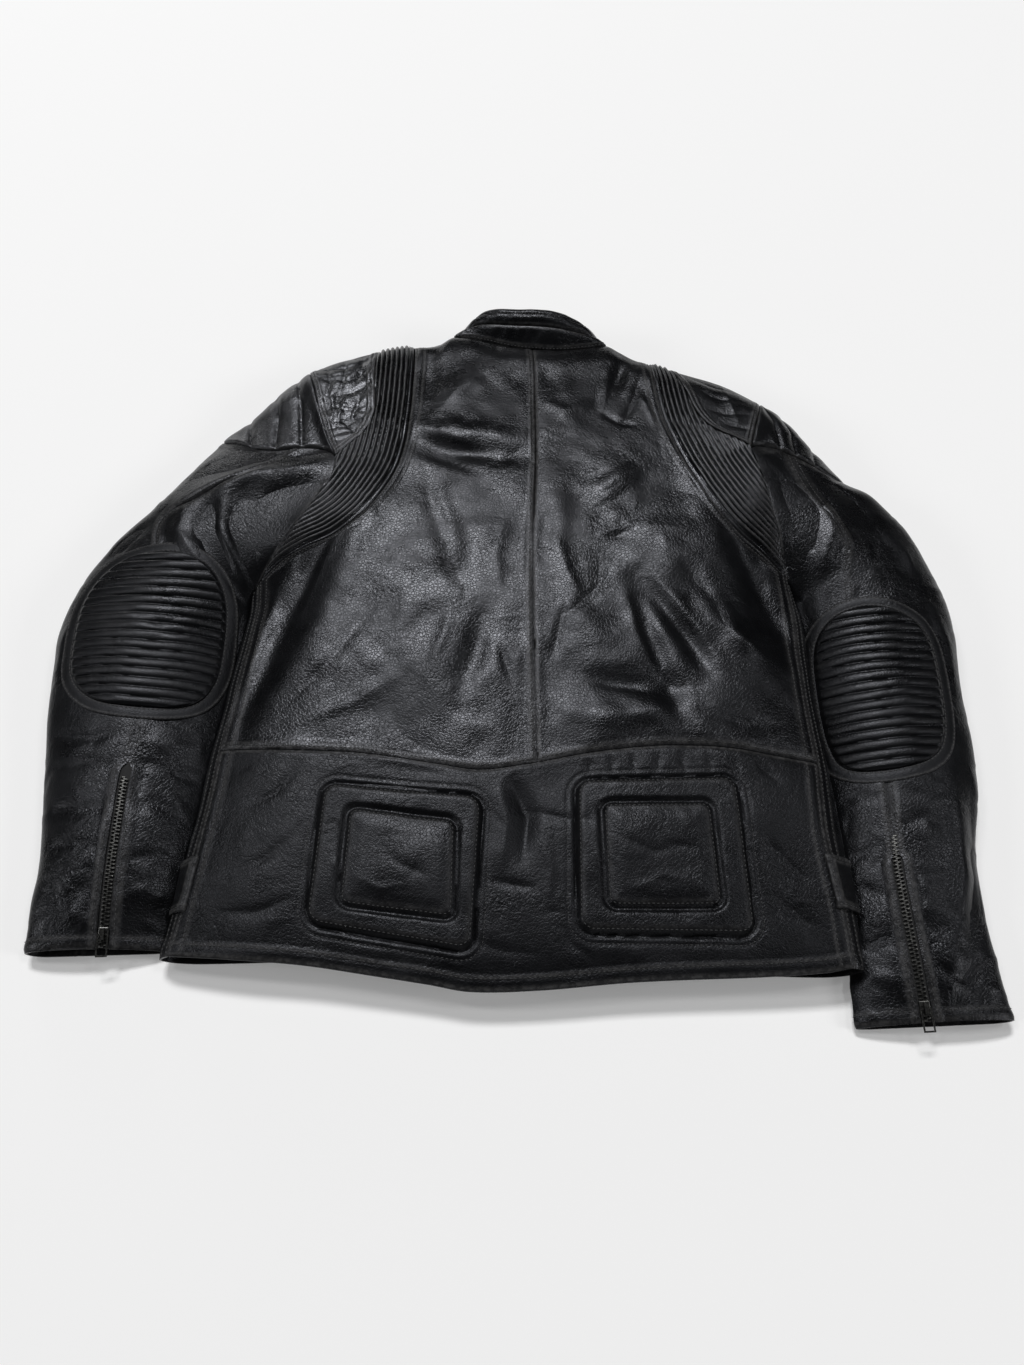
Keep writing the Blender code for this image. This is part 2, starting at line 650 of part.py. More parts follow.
def ring_point(row, s, top):
    """A point of a flattened ring: s runs from the arm's outer edge to its inner edge."""
    ox, oy, oz, ix, iy, iz, crown = row
    rim = oz + (iz - oz) * s
    out_share, in_share = 0.42, 0.58
    near = np.clip(s / out_share, 0, 1)
    far = np.clip((1 - s) / in_share, 0, 1)
    lift_out = (1 - (1 - near) ** 2.2) ** (1 / 2.2)
    lift_in = (1 - (1 - far) ** 1.45) ** (1 / 1.45)
    over = rim + (crown - rim) * np.where(s < out_share, lift_out, lift_in)
    foot = 0.14
    drop = np.sqrt(np.clip(1 - (1 - np.clip(np.minimum(s, 1 - s) / foot, 0, 1)) ** 2, 0, 1))
    z = np.where(top, over, rim * (1 - drop))
    return np.stack([ox + (ix - ox) * s, oy + (iy - oy) * s, z], axis=-1)


class Sleeve:
    """The outer surface of one arm below the shoulder pad: u goes round it, v down it."""

    def __init__(self, side):
        left = side == "left"
        pad_low = PAD_LOW_LEFT if left else PAD_LOW_RIGHT
        arm_low = ARM_LOW_LEFT if left else ARM_LOW_RIGHT
        under = ARM_UNDER_LEFT if left else ARM_UNDER_RIGHT
        pad_under = PAD_UNDER_LEFT if left else PAD_UNDER_RIGHT
        self.rings = RINGS_LEFT if left else RINGS_RIGHT
        self.rows = len(self.rings) + 1
        many = spread(161)
        under = on_seam(under)
        upper = np.concatenate(
            [line(pad_seam(pad_low))(1 - many), lift(line(arm_low)(many))[1:], under[1:2]]
        )
        lower = np.concatenate(
            [line(under[1 : CORNER_ROW + 1])(many), line(pad_under)(many)[1:]]
        )
        self.upper, self.lower = upper, lower
        self.upper_share, self.lower_share = reach(upper), reach(lower)
        self.corner_top, self.arm_end = self.upper_share[160], self.upper_share[320]
        self.corner_under = self.lower_share[160]
        seam = line(ARM_SEAM_LEFT if left else ARM_SEAM_RIGHT)(spread(401))
        self.seam = [self.upper_share[np.argmin(np.hypot(*(upper[:, :2] - seam[0]).T))]]
        share = spread(401)
        for row in self.rings:
            chord = ring_point(row, share, True)[:, None, :2]
            gap = np.linalg.norm(chord - seam[None], axis=-1).min(axis=1)
            self.seam.append(share[np.argmin(gap)])

    def upper_share_of(self, u):
        return (1 - np.cos(2 * np.pi * u)) / 2

    def share_to_u(self, share):
        return np.arccos(1 - 2 * share) / (2 * np.pi)

    def first(self, u):
        top = u <= 0.5
        s = (1 - np.cos(2 * np.pi * u)) / 2
        parts = []
        for k in range(3):
            high = np.interp(s, self.upper_share, self.upper[:, k])
            low = np.interp(1 - s, self.lower_share, self.lower[:, k])
            parts.append(np.where(top, high, low))
        return np.stack(parts, axis=-1)

    def at(self, u, v):
        """Points for u round the arm (0 the outer edge, 0.5 the inner) and v from 0 to 1."""
        u = np.asarray(u, float) % 1.0
        top = u <= 0.5
        s = (1 - np.cos(2 * np.pi * u)) / 2
        rings = np.stack([self.first(u)] + [ring_point(row, s, top) for row in self.rings])
        place = np.clip(np.asarray(v, float), 0, 1) * (self.rows - 1)
        row = np.clip(place.astype(int), 0, self.rows - 2)
        t = (place - row)[..., None]

        def pick(k):
            k = np.clip(k, 0, self.rows - 1)
            return np.take_along_axis(rings, k[None, ..., None], axis=0)[0]

        low, high = pick(row), pick(row + 1)
        before, after = (high - pick(row - 1)) / 2, (pick(row + 2) - low) / 2
        before = np.where((row == 0)[..., None], high - low, before)
        after = np.where((row == self.rows - 2)[..., None], high - low, after)
        return (
            low * (1 + 2 * t) * (1 - t) ** 2
            + high * t * t * (3 - 2 * t)
            + before * t * (1 - t) ** 2
            - after * t * t * (1 - t)
        )

    def way(self, u, v):
        """Outward directions, by small steps round and down the arm."""
        du, dv = 0.004, 0.004
        around = self.at(u + du, v) - self.at(u - du, v)
        down = self.at(u, np.minimum(v + dv, 1)) - self.at(u, np.maximum(v - dv, 0))
        return unit(np.cross(around, down)) * (-1.0 if self.turn else 1.0)

    @property
    def turn(self):
        return self.rings[0][0] < 0

    def seam_u(self, v):
        s = through(spread(self.rows), self.seam, v)
        return np.arccos(1 - 2 * np.clip(s, 0, 1)) / (2 * np.pi)

    def side_step(self, u, v, distance):
        """How far u changes for a distance across the arm."""
        across = np.linalg.norm(self.at(u + 0.005, v) - self.at(u - 0.005, v), axis=-1)
        return distance * 0.01 / np.maximum(across, 1e-6)

    def locate(self, x, y):
        """u and v of plan points on the arm's top side."""
        u = np.full(np.shape(x), 0.25)
        v = np.full(np.shape(x), 0.5)
        for _ in range(40):
            here = self.at(u, v)
            du = (self.at(u + 0.002, v) - here)[..., :2] / 0.002
            dv = (self.at(u, v + 0.002) - here)[..., :2] / 0.002
            ex, ey = x - here[..., 0], y - here[..., 1]
            det = du[..., 0] * dv[..., 1] - du[..., 1] * dv[..., 0]
            det = np.where(np.abs(det) < 1e-6, 1e-6, det)
            su = (ex * dv[..., 1] - ey * dv[..., 0]) / det
            sv = (ey * du[..., 0] - ex * du[..., 1]) / det
            u = np.clip(u + np.clip(su, -0.05, 0.05), 0.05, 0.45)
            v = np.clip(v + np.clip(sv, -0.08, 0.08), 0.0, 0.99)
        return u, v


UNDER_SEAM_U = 0.80


def seam_way(points):
    """Direction of the walls along the armhole and pad seams, shared by the pieces that meet there."""
    x, y, z = points[..., 0], points[..., 1], points[..., 2]
    rim = np.interp(y, [508, 640], [18, 27])
    band = np.interp(y, [508, 640], [8, 12])
    up = np.clip((z - rim) / band, -1.0, 1.0)[..., None]
    side = unit(np.stack([x - 8.0, (y - 560.0) * 1.6, np.zeros_like(x)], axis=-1))
    down = np.array([0.0, 0.0, -1.0])
    above = lean(points) * up + side * (1 - up)
    below = down * -up + side * (1 + up)
    return unit(np.where(up > 0, above, below))


def eased_to_seam(way, sheet, rows):
    """Turns the directions toward the shared ones over the first rows of a sheet."""
    count = sheet.shape[1]
    share = np.clip(1 - np.arange(count) / rows, 0, 1)[None, :, None]
    return unit(way * (1 - share) + seam_way(sheet) * share)


def sleeve_pieces(side, collection, leather, metal, cloth):
    sleeve = Sleeve(side)
    facts = SLEEVES[side]
    down = joined(spread(3, 0.0, 0.08), spread(7, 0.08, 0.42), spread(6, 0.42, 1.0))
    seam = sleeve.seam_u(down)
    opened = np.clip((down - facts["zip_from"]) / 0.03, 0, 1) * facts["zip_half"]
    step = sleeve.side_step(seam, down, opened)
    under_u = 1 - math.acos(1 - 2 * (1 - sleeve.corner_under)) / (2 * math.pi)
    span = UNDER_SEAM_U - seam[0]
    second, third = (0.5 - seam[0]) / span, (under_u - seam[0]) / span
    tail = joined(spread(5, second, third), spread(3, third, 1.0))
    low_u = sleeve.share_to_u(sleeve.corner_top + ARM_STOPS * (sleeve.arm_end - sleeve.corner_top))
    arm = (low_u - seam[0]) / span
    shares = joined(spread(3, 0.0, arm[0]), arm, spread(3, arm[-1], second), tail)
    start = (seam + step)[None]
    u = start + (UNDER_SEAM_U - start) * shares[:, None]
    v = np.broadcast_to(down[None], u.shape)
    sleeve_wall("sleeve_inner_" + side, sleeve, u, v, leather, collection)
    begin = 1 - sleeve.upper_share_of(seam[0]) / sleeve.corner_top
    marks = PAD_STOPS[PAD_STOPS > begin + 0.03]
    over = sleeve.share_to_u((1 - marks) * sleeve.corner_top)
    beyond = -sleeve.share_to_u((1 - sleeve.corner_under) * (1 - PAD_STOPS[PAD_UNDER_PICKS]))
    beyond = beyond[beyond > UNDER_SEAM_U - 1 + 0.01]
    shares = np.concatenate([[seam[0]], over, [0.0], beyond, [UNDER_SEAM_U - 1]])
    shares = (seam[0] - shares) / (seam[0] - (UNDER_SEAM_U - 1))
    start = (seam - step)[None]
    u = start + (UNDER_SEAM_U - 1 - start) * shares[:, None]
    v = np.broadcast_to(down[None], u.shape)
    sleeve_wall("sleeve_outer_" + side, sleeve, u, v, leather, collection)
    shoulder_pad(side, collection, leather)
    elbow(side, sleeve, collection, leather)
    cuff_zip(side, sleeve, facts, collection, cloth)
    cuff_slider(side, sleeve, collection, metal)


def sleeve_wall(name, sleeve, u, v, leather, collection):
    sheet = sleeve.at(u, v)
    way = eased_to_seam(sleeve.way(u, v), sheet, 4)
    sheet = drawn_in(sheet, SEAM_GAP / 2)
    build(name, sheet, sheet - way * WALL, leather, collection)


def pad_loop(side):
    """The armhole round the shoulder pad: patch corner, shoulder point, then the under side."""
    left = side == "left"
    top = lift(line(ARM_TOP_LEFT if left else ARM_TOP_RIGHT)(ARM_TOP_STOPS))
    rows = on_seam(ARM_UNDER_LEFT if left else ARM_UNDER_RIGHT)
    under = line(rows)(under_stops(side)[CORNER_STOP:])[::-1]
    return np.concatenate([top, under[1:]])


def under_stops(side):
    """Positions along the armhole's lower line: each row of its table, and points between near the shoulder."""
    rows = on_seam(ARM_UNDER_LEFT if side == "left" else ARM_UNDER_RIGHT)
    return np.interp(under_numbers(), np.arange(len(rows)), reach(rows))


def under_numbers():
    return joined(np.arange(0.0, 11.0), 10.0 + np.arange(10) / 3.0)


def shoulder_pad(side, collection, leather):
    left = side == "left"
    across = PAD_STOPS
    loop = pad_loop(side)
    start = line(pad_seam(PAD_LOW_LEFT if left else PAD_LOW_RIGHT))(across)
    end = line(PAD_UNDER_LEFT if left else PAD_UNDER_RIGHT)(across)
    start[0], end[0] = loop[0], loop[-1]
    round_end = last_loop(start[-1], end[-1], len(loop), left)
    sheet = fill(loop, round_end, start, end)
    way = sheet_normals(sheet) * (1.0 if left else -1.0)
    near = np.clip(1 - np.arange(len(across)) / 4.0, 0, 1)[None, :, None]
    rim = np.clip(1 - np.minimum(np.arange(len(loop)), np.arange(len(loop))[::-1]) / 2.0, 0, 1)
    near = np.maximum(near, rim[:, None, None])
    way = unit(way * (1 - near) + seam_way(sheet) * near)
    rise = np.array([0, 2.4, 2.4, 0, 3, 0, 3, 0, 2.4, 0])
    fade_ends = np.clip(np.minimum(np.arange(len(loop)), np.arange(len(loop))[::-1]) / 1.0, 0, 1)
    half = np.where(np.arange(len(loop)) < 6, 1.0, 0.0)
    sheet = drawn_in(sheet, PAD_GAP / 2)
    outer = sheet + way * (rise[None] * (fade_ends * half)[:, None])[..., None]
    build("shoulder_pad_" + side, outer, sheet - way * WALL, leather, collection)


def last_loop(first, last, count, left):
    """The short row where the pad runs out at the arm's edge."""
    share = spread(count)[:, None]
    bow = np.sin(np.pi * share) * np.array([-1.0 if left else 1.0, 0.5, 0.0])
    return first + (last - first) * share + bow


def pad_outline(side, grow=0.0):
    rows = np.array(PAD_OUT_LEFT if side == "left" else PAD_OUT_RIGHT, float)
    ringed = np.concatenate([rows[-3:], rows, rows[:3]])
    keys = np.arange(-3.0, len(rows) + 3.0)
    share = spread(29) * len(rows)
    outline = rounded_keys(keys, ringed, share)
    tangent = unit(np.roll(outline[:-1], -1, axis=0) - np.roll(outline[:-1], 1, axis=0))
    outward = np.stack([tangent[:, 1], -tangent[:, 0]], axis=-1)
    middle = rows.mean(axis=0)
    facing = np.sign(((outline[:-1] - middle) * outward).sum(-1, keepdims=True))
    grown = outline[:-1] + outward * facing * grow
    return np.concatenate([grown, grown[:1]])


def rounded_keys(keys, rows, at):
    span = keys[-1] - keys[0]
    return rounded((keys - keys[0]) / span, rows, (at - keys[0]) / span)


def elbow(side, sleeve, collection, leather):
    rings = [pad_outline(side, grow) for grow in (0.7, 0.35 * RING_WIDTH, 0.68 * RING_WIDTH, RING_WIDTH)]
    plan = np.stack(rings, axis=1)
    u, v = sleeve.locate(plan[..., 0], plan[..., 1])
    sheet, way = sleeve.at(u, v), sleeve.way(u, v)
    rise = np.array([1.2, 1.9, 1.9, 1.2])[None, :, None]
    low = sheet + way * (LAY_GAP + 0.5)
    build("elbow_ring_" + side, low + way * rise, low, leather, collection, wrap=True)

    outline = pad_outline(side, -1.5)
    top, bottom = outline[:, 1].max() - 7.0, outline[:, 1].min() + 7.0
    levels = spread(2 * RIBS_ELBOW - 1, top, bottom)
    ease = (1 - np.cos(np.pi * spread(ELBOW_STOPS))) / 2
    rows = [arc_row(outline, levels[0], ease, True)]
    for level in levels:
        low, high = crossing_x(outline, level)
        rows.append(np.stack([low + (high - low) * ease, np.full(ELBOW_STOPS, level)], axis=-1))
    rows.append(arc_row(outline, levels[-1], ease, False))
    plan = np.stack(rows)
    u, v = sleeve.locate(plan[..., 0], plan[..., 1])
    sheet, way = sleeve.at(u, v), sleeve.way(u, v)
    teeth = np.where(np.arange(len(rows)) % 2, ELBOW_RISE, 0.0)
    rim = np.minimum(np.arange(ELBOW_STOPS), np.arange(ELBOW_STOPS)[::-1]) / 1.0
    rise = 1.4 + teeth[:, None] * np.clip(rim, 0.2, 1.0)[None]
    low = sheet + way * LAY_GAP
    build("elbow_pad_" + side, low + way * rise[..., None], low, leather, collection)


def crossing_x(outline, level):
    found = []
    for start, end in zip(outline[:-1], outline[1:]):
        if (start[1] - level) * (end[1] - level) < 0:
            t = (level - start[1]) / (end[1] - start[1])
            found.append(start[0] + t * (end[0] - start[0]))
    return min(found) + 0.2, max(found) - 0.2


def arc_row(outline, level, ease, upper):
    """The pad's last row, bent along its outline above or below a level."""
    low, high = crossing_x(outline, level)
    x = low + (high - low) * ease
    inside = outline[(outline[:, 1] > level) == upper]
    inside = inside[np.argsort(inside[:, 0])]
    y = np.interp(x, inside[:, 0], inside[:, 1])
    ends = np.minimum(1.0, np.minimum(ease, 1 - ease) * 6.0)
    sign = 1.0 if upper else -1.0
    return np.stack([x, level + sign * 2.0 + (y - level - sign * 2.0) * ends], axis=-1)


def cuff_zip(side, sleeve, facts, collection, cloth):
    down = np.concatenate([[0.664], spread(9, facts["zip_from"] + 0.06, 1.0)])
    seam = sleeve.seam_u(down)
    offsets = np.array([-6.8, -2.3, -1.9, 1.9, 2.3, 6.8])
    step = np.stack([sleeve.side_step(seam, down, offset) for offset in offsets])
    u = seam[None] + step
    v = np.broadcast_to(down[None], u.shape)
    way = sleeve.way(u, v)
    deep = sleeve.at(u, v) - way * (WALL + 0.8)
    chain = np.where(np.arange(len(down)) > 0, CHAIN_RISE, 0.0)
    rise = np.array([0, 0, 1, 1, 0, 0])[:, None, None] * chain[None, :, None]
    build("cuff_zip_" + side, deep + way * rise, deep - way * 1.1, cloth, collection)


FRONT_STOPS = (0.0, 0.6, 1.2, 2.0, 2.6, 3.2, 4.2, 5.0)
SHOULDER_STOPS = (0.0, 0.12, 0.24, 0.38, 0.52, 0.68, 0.84, 1.0)
FRONT_KEYS = (0.0, 1.0, 2.0, 3.2, 5.0)


def front_rows(side):
    """Rows of the lower layer from the side seam round the edge to the centre front."""
    left = side == "left"
    sign = 1.0 if left else -1.0
    seam, edge = line(SEAM_LEFT if left else SEAM_RIGHT), line(EDGE_LEFT if left else EDGE_RIGHT)
    under = line(on_seam(ARM_UNDER_LEFT if left else ARM_UNDER_RIGHT))
    shoulder = line(SHOULDER_LEFT if left else SHOULDER_RIGHT)
    centre = CENTRE_FRONT - sign * ZIP_HALF
    stops = np.array(FRONT_STOPS)
    rows = []
    for t in joined(spread(6, 0.0, side_stops(side)[0]), side_stops(side))[:-1]:
        start, rim = lift(seam(t)), edge(t)
        end = np.array([centre, start[1] + FRONT_HEM_SET_BACK * (1 - t), 0.0])
        rows.append(through(FRONT_KEYS, [start] + round_edge(rim, sign) + [end], stops))
    for number, t in zip(under_numbers(), under_stops(side)):
        start = under(t)
        if number < 9:
            end = np.array([centre, np.interp(number, range(9), FRONT_END_Y[side]), 0.0])
        elif number < 10:
            end = np.array([centre, np.interp(number, [9, 10], [705, 744]), 0.0])
        else:
            end = neck_points(np.array([front_neck_share(side, number)]))[0]
        if number == 0:
            steps = [start] + round_edge(edge(0.985), sign) + [end]
            rows.append(through(FRONT_KEYS, steps, stops))
        elif number < 9:
            steps = [start]
            for far, part in ((6.0, 0.62), (16.0, 0.25), (48.0, 0.0)):
                y = start[1] + (end[1] - start[1]) * far / 80.0
                steps.append(np.array([start[0] + sign * far, y, start[2] * part]))
            rows.append(through(FRONT_KEYS, steps + [end], stops))
        else:
            rows.append(shoulder_row(shoulder, number, start, end))
    return np.array(rows)


def shoulder_row(shoulder, number, start, end):
    """A row of the lower layer that follows the shoulder seam, below it or round its edge."""
    share = np.array(SHOULDER_STOPS)
    shift = np.interp(number, [9, 10, 11, 12, 13], [-55, -22, 1, 7, 0.3])
    steps = lift(shoulder(share) + [0, shift])
    steps[:, 2] *= np.interp(number, [9, 10, 11, 12, 13], [0, 0.03, 0.25, 0.6, 1])
    ease = np.clip(1 - share / 0.25, 0, 1)[:, None]
    steps += (start - steps[0]) * ease
    steps += (end - steps[-1]) * np.clip((share - 0.75) / 0.25, 0, 1)[:, None]
    return steps


def round_edge(rim, sign):
    low = rim + np.array([sign * 7.0, 0.0, -0.68 * rim[2]])
    foot = rim + np.array([sign * 30.0, 0.0, -rim[2]])
    return [rim, low, foot]


def front_panels(collection, leather):
    for side in ("left", "right"):
        rows = front_rows(side)
        sheet = rows
        way = sheet_normals(sheet) * (1.0 if side == "left" else -1.0)
        count = len(rows)
        near = np.clip(1 - np.arange(len(FRONT_STOPS)) / 1.5, 0, 1)[None, :, None]
        shared = np.where((np.arange(count) < 13)[:, None, None], lean(sheet), seam_way(sheet))
        way = unit(way * (1 - near) + shared * near)
        last = np.clip((np.arange(count) - (count - 3)) / 2.0, 0, 1)[:, None, None]
        way = unit(way * (1 - last) + lean(sheet) * last)
        sheet = drawn_in(sheet, CURVED_GAP / 2)
        build("front_" + side, sheet, sheet - way * WALL, leather, collection)


def front_neck_share(side, number):
    """Position on the neck seam of a row of the lower layer, by its number from the centre front."""
    left = side == "left"
    marks = [neck_share(row) for row in ((0, 2, 3, 4) if left else (15, 13, 12, 11))]
    return np.interp(number, [10, 11, 12, 13], marks)


def neck_stops():
    numbers = 10.0 + np.arange(10) / 3.0
    left, right = back_neck_stops()
    return joined(
        front_neck_share("left", numbers), left, right, front_neck_share("right", numbers)[::-1]
    )


def collar(collection, leather):
    rows = np.array(COLLAR, float)
    share = neck_stops()
    order = np.interp(share, reach(rows[:, :3]), np.arange(len(rows)))
    neck = neck_points(share)
    groove, top = (
        line(rows[:, k : k + 3])(np.interp(order, np.arange(len(rows)), reach(rows[:, k : k + 3])))
        for k in (3, 6)
    )
    half = spread(4)[None, :, None]
    low = neck[:, None] * (1 - half) + groove[:, None] * half
    high = groove[:, None] * (1 - half) + top[:, None] * half
    way = sheet_normals(np.concatenate([low, high[:, 1:]], axis=1))
    for name, sheet, direction, thick, bulge in (
        ("collar_stand", low, way[:, :4], WALL, 0.8),
        ("collar_roll", high, way[:, 3:], 3.0, 2.4),
    ):
        swell = bulge * np.sin(np.pi * spread(4))[None, :, None]
        sheet = drawn_in(sheet, CURVED_GAP / 2)
        build(name, sheet + direction * swell, sheet - direction * thick, leather, collection)


def applied(thing, kind, **settings):
    """Adds one modifier and applies it."""
    modifier = thing.modifiers.new(kind.title(), kind)
    for key, value in settings.items():
        setattr(modifier, key, value)
    bpy.context.view_layer.objects.active = thing
    bpy.ops.object.modifier_apply(modifier=modifier.name)


def box(name, size, centre, collection):
    bpy.ops.object.select_all(action="DESELECT")
    bpy.ops.mesh.primitive_cube_add(size=1.0)
    thing = bpy.context.active_object
    thing.name = name
    thing.data.name = name
    for vertex in thing.data.vertices:
        vertex.co = Vector([(vertex.co[k] * size[k] + centre[k]) * MM for k in range(3)])
    for owner in list(thing.users_collection):
        owner.objects.unlink(thing)
    collection.objects.link(thing)
    return thing


def join_to(thing, other, operation):
    applied(thing, "BOOLEAN", object=other, operation=operation, solver="EXACT")
    bpy.data.objects.remove(other, do_unlink=True)


def placed(thing, point, across, along, up):
    """Sets a small metal piece on the cloth: its X across the zip, its Y up the arm."""
    frame = Matrix.Identity(4)
    for k, direction in enumerate((across, along, up)):
        for row in range(3):
            frame[row][k] = direction[row]
    place = (point - ORIGIN) * MM
    for row in range(3):
        frame[row][3] = place[row]
    thing.matrix_world = frame


def cuff_slider(side, sleeve, collection, metal):
    """Slider with its bridge, and the wire pull that turns in the bridge."""
    v = np.array([0.976, 0.984])
    u = sleeve.seam_u(v)
    points = sleeve.at(u, v) - sleeve.way(u, v) * (WALL + 0.8 - CHAIN_RISE)
    up = sleeve.way(u, v)[0]
    along = unit(points[0] - points[1])
    across = unit(np.cross(along, up))
    up = np.cross(across, along)
    body = box("cuff_slider_" + side, SLIDER_SIZE, (0, 0, 0.4 + SLIDER_SIZE[2] / 2), collection)
    applied(body, "BEVEL", width=0.0007, segments=2)
    top = 0.4 + SLIDER_SIZE[2]
    bridge = box("bridge", (2.6, 8.0, 4.0), (0, 0, top + 1.5), collection)
    hole = box("bridge_hole", (4.0, 5.6, 2.5), (0, 0, top + 1.25), collection)
    join_to(bridge, hole, "DIFFERENCE")
    join_to(body, bridge, "UNION")
    placed(body, points[0], across, along, up)
    finish(body, metal)

    wire = PULL_WIRE
    pull = box("cuff_pull_" + side, (PULL_WIDTH, PULL_LENGTH, wire), (0, wire / 2 - PULL_LENGTH / 2, 0), collection)
    window = box(
        "pull_window",
        (PULL_WIDTH - 2 * wire, PULL_LENGTH - 2 * wire, 4 * wire),
        (0, wire / 2 - PULL_LENGTH / 2, 0),
        collection,
    )
    join_to(pull, window, "DIFFERENCE")
    applied(pull, "BEVEL", width=0.0003, segments=1, limit_method="ANGLE")
    placed(pull, points[0] + up * (top + 1.25), across, along, up)
    finish(pull, metal)


def front_zip(collection, cloth):
    """The closed front zip on the hidden lower layer: tape, chain and the slider at its top, in one solid."""
    across = np.array([-10.0, -2.4, -2.0, 2.0, 2.4, 10.0]) + CENTRE_FRONT
    along = spread(5, 188.0, 735.6)
    sheet = np.zeros((6, 5, 3))
    sheet[..., 0] = across[:, None]
    sheet[..., 1] = along[None]
    sheet[..., 2] = WALL + 0.6
    outer = sheet.copy()
    outer[2:4, :, 2] -= CHAIN_RISE
    tape = build("front_zip", outer, sheet + [0, 0, 1.1], cloth, collection)
    place = np.array([CENTRE_FRONT, FRONT_SLIDER_Y, 2.0]) - ORIGIN
    slider = box("front_slider", (8.0, 11.0, 3.0), place, collection)
    applied(slider, "BEVEL", width=0.0007, segments=2)
    join_to(tape, slider, "UNION")
    finish(tape, cloth)


def side_tab(side, collection, leather):
    """The strap sewn over the side seam above the hem."""
    left = side == "left"
    sign = 1.0 if left else -1.0
    seam, edge = (SEAM_LEFT, EDGE_LEFT) if left else (SEAM_RIGHT, EDGE_RIGHT)
    rows = []
    for y in spread(6, *TAB_Y):
        start = lift(line(seam)(seam_at_y(seam, y)))
        rim = line(edge)(seam_at_y(edge, y))
        base = through(FRONT_KEYS, [start] + round_edge(rim, sign) + [start * 0], np.array(TAB_STOPS))
        inboard = lift(start + [sign * 5.0, 0, 0])
        rows.append(np.concatenate([inboard[None], base]))
    sheet = np.array(rows)
    way = sheet_normals(sheet) * (1.0 if left else -1.0)
    low = sheet + way * 1.2
    build("side_tab_" + side, low + way * 1.8, low, leather, collection)


def seam_at_y(rows, y):
    share = spread(401)
    return float(share[np.argmin(np.abs(line(rows)(share)[:, 1] - y))])


def main():
    clear_scene()
    collection = bpy.data.collections.new("riding_jacket")
    bpy.context.scene.collection.children.link(collection)
    leather = paint("leather_black", LEATHER, 0.0, 0.38)
    ribbed = paint("leather_ribbed", LEATHER, 0.0, 0.45)
    cloth = paint("zip_tape", (0.01, 0.01, 0.01, 1.0), 0.0, 0.8)
    metal = paint("zip_metal", (0.12, 0.12, 0.12, 1.0), 1.0, 0.4)
    body_top(collection, leather, ribbed)
    for side in ("left", "right"):
        sleeve_pieces(side, collection, leather, metal, cloth)
    front_panels(collection, leather)
    collar(collection, leather)
    front_zip(collection, cloth)
    for side in ("left", "right"):
        side_tab(side, collection, leather)


main()
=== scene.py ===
import math

import bmesh
import bpy
import numpy as np
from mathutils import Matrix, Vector


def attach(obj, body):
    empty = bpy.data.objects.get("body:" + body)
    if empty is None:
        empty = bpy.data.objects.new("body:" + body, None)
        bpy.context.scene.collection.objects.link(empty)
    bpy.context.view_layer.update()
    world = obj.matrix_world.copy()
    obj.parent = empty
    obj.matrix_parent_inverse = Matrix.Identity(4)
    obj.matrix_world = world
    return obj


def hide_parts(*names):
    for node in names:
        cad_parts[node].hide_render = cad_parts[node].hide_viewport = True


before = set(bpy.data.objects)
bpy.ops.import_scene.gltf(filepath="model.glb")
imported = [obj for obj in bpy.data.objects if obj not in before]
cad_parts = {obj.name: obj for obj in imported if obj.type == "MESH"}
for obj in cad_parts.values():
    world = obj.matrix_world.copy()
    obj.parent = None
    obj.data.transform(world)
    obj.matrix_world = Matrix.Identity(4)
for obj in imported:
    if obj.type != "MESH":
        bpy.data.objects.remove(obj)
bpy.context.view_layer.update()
print("frame loaded:", len(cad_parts), "nodes")

# Plan sizes in millimetres, as the pattern pieces were laid out: +X right, +Y to the collar, +Z up.
mm = 0.001
origin = np.array([-3.6, 475.1, 0.0])  # plan point at the scene's origin
leatherThickness = 1.5

# Middle height of the back above the surface. Columns: y, z.
backLevel = [
    (120, 24), (150, 28), (180, 34), (250, 39), (330, 42),
    (420, 47), (520, 53), (640, 56), (780, 57), (860, 57),
]
# Side seams on the back. Columns: x, y.
seamRows = {
    "left": [
        (-255, 176), (-248, 222), (-244, 261), (-240, 300), (-237, 340),
        (-233, 379), (-229, 419), (-226, 454), (-225, 482), (-228, 508),
    ],
    "right": [
        (249, 166), (247, 208), (244, 238), (242, 268), (243, 298),
        (245, 327), (244, 389), (245, 430), (247, 470), (245, 512),
    ],
}
# Outermost line of the body below the arms. Columns: x, y, z.
edgeRows = {
    "left": [
        (-264, 176, 14), (-257, 222, 16), (-254, 261, 18), (-251, 300, 19), (-248, 340, 20),
        (-244, 379, 20), (-240, 419, 20), (-237, 454, 19), (-235, 482, 18), (-236, 500, 17),
    ],
    "right": [
        (260, 166, 22), (260, 208, 23), (259, 238, 23), (259, 268, 23), (258, 298, 23),
        (257, 327, 23), (254, 389, 22), (256, 430, 21), (257, 470, 20), (252, 500, 18),
    ],
}
# Where the top starts to fall to each side, above the underarm too. Columns: y, x.
fallRows = {
    "left": [(120, -257), (300, -240), (420, -229), (508, -228), (560, -262), (640, -310), (800, -360)],
    "right": [(120, 250), (300, 243), (420, 244), (512, 246), (560, 275), (640, 310), (800, 350)],
}
fallDrops = {
    "left": [(120, 6), (250, 9), (340, 9), (420, 13), (508, 25), (640, 25), (800, 25)],
    "right": [(120, 0), (208, 0), (340, 6), (430, 12), (512, 21), (640, 21), (800, 21)],
}
fallWidth = 80.0
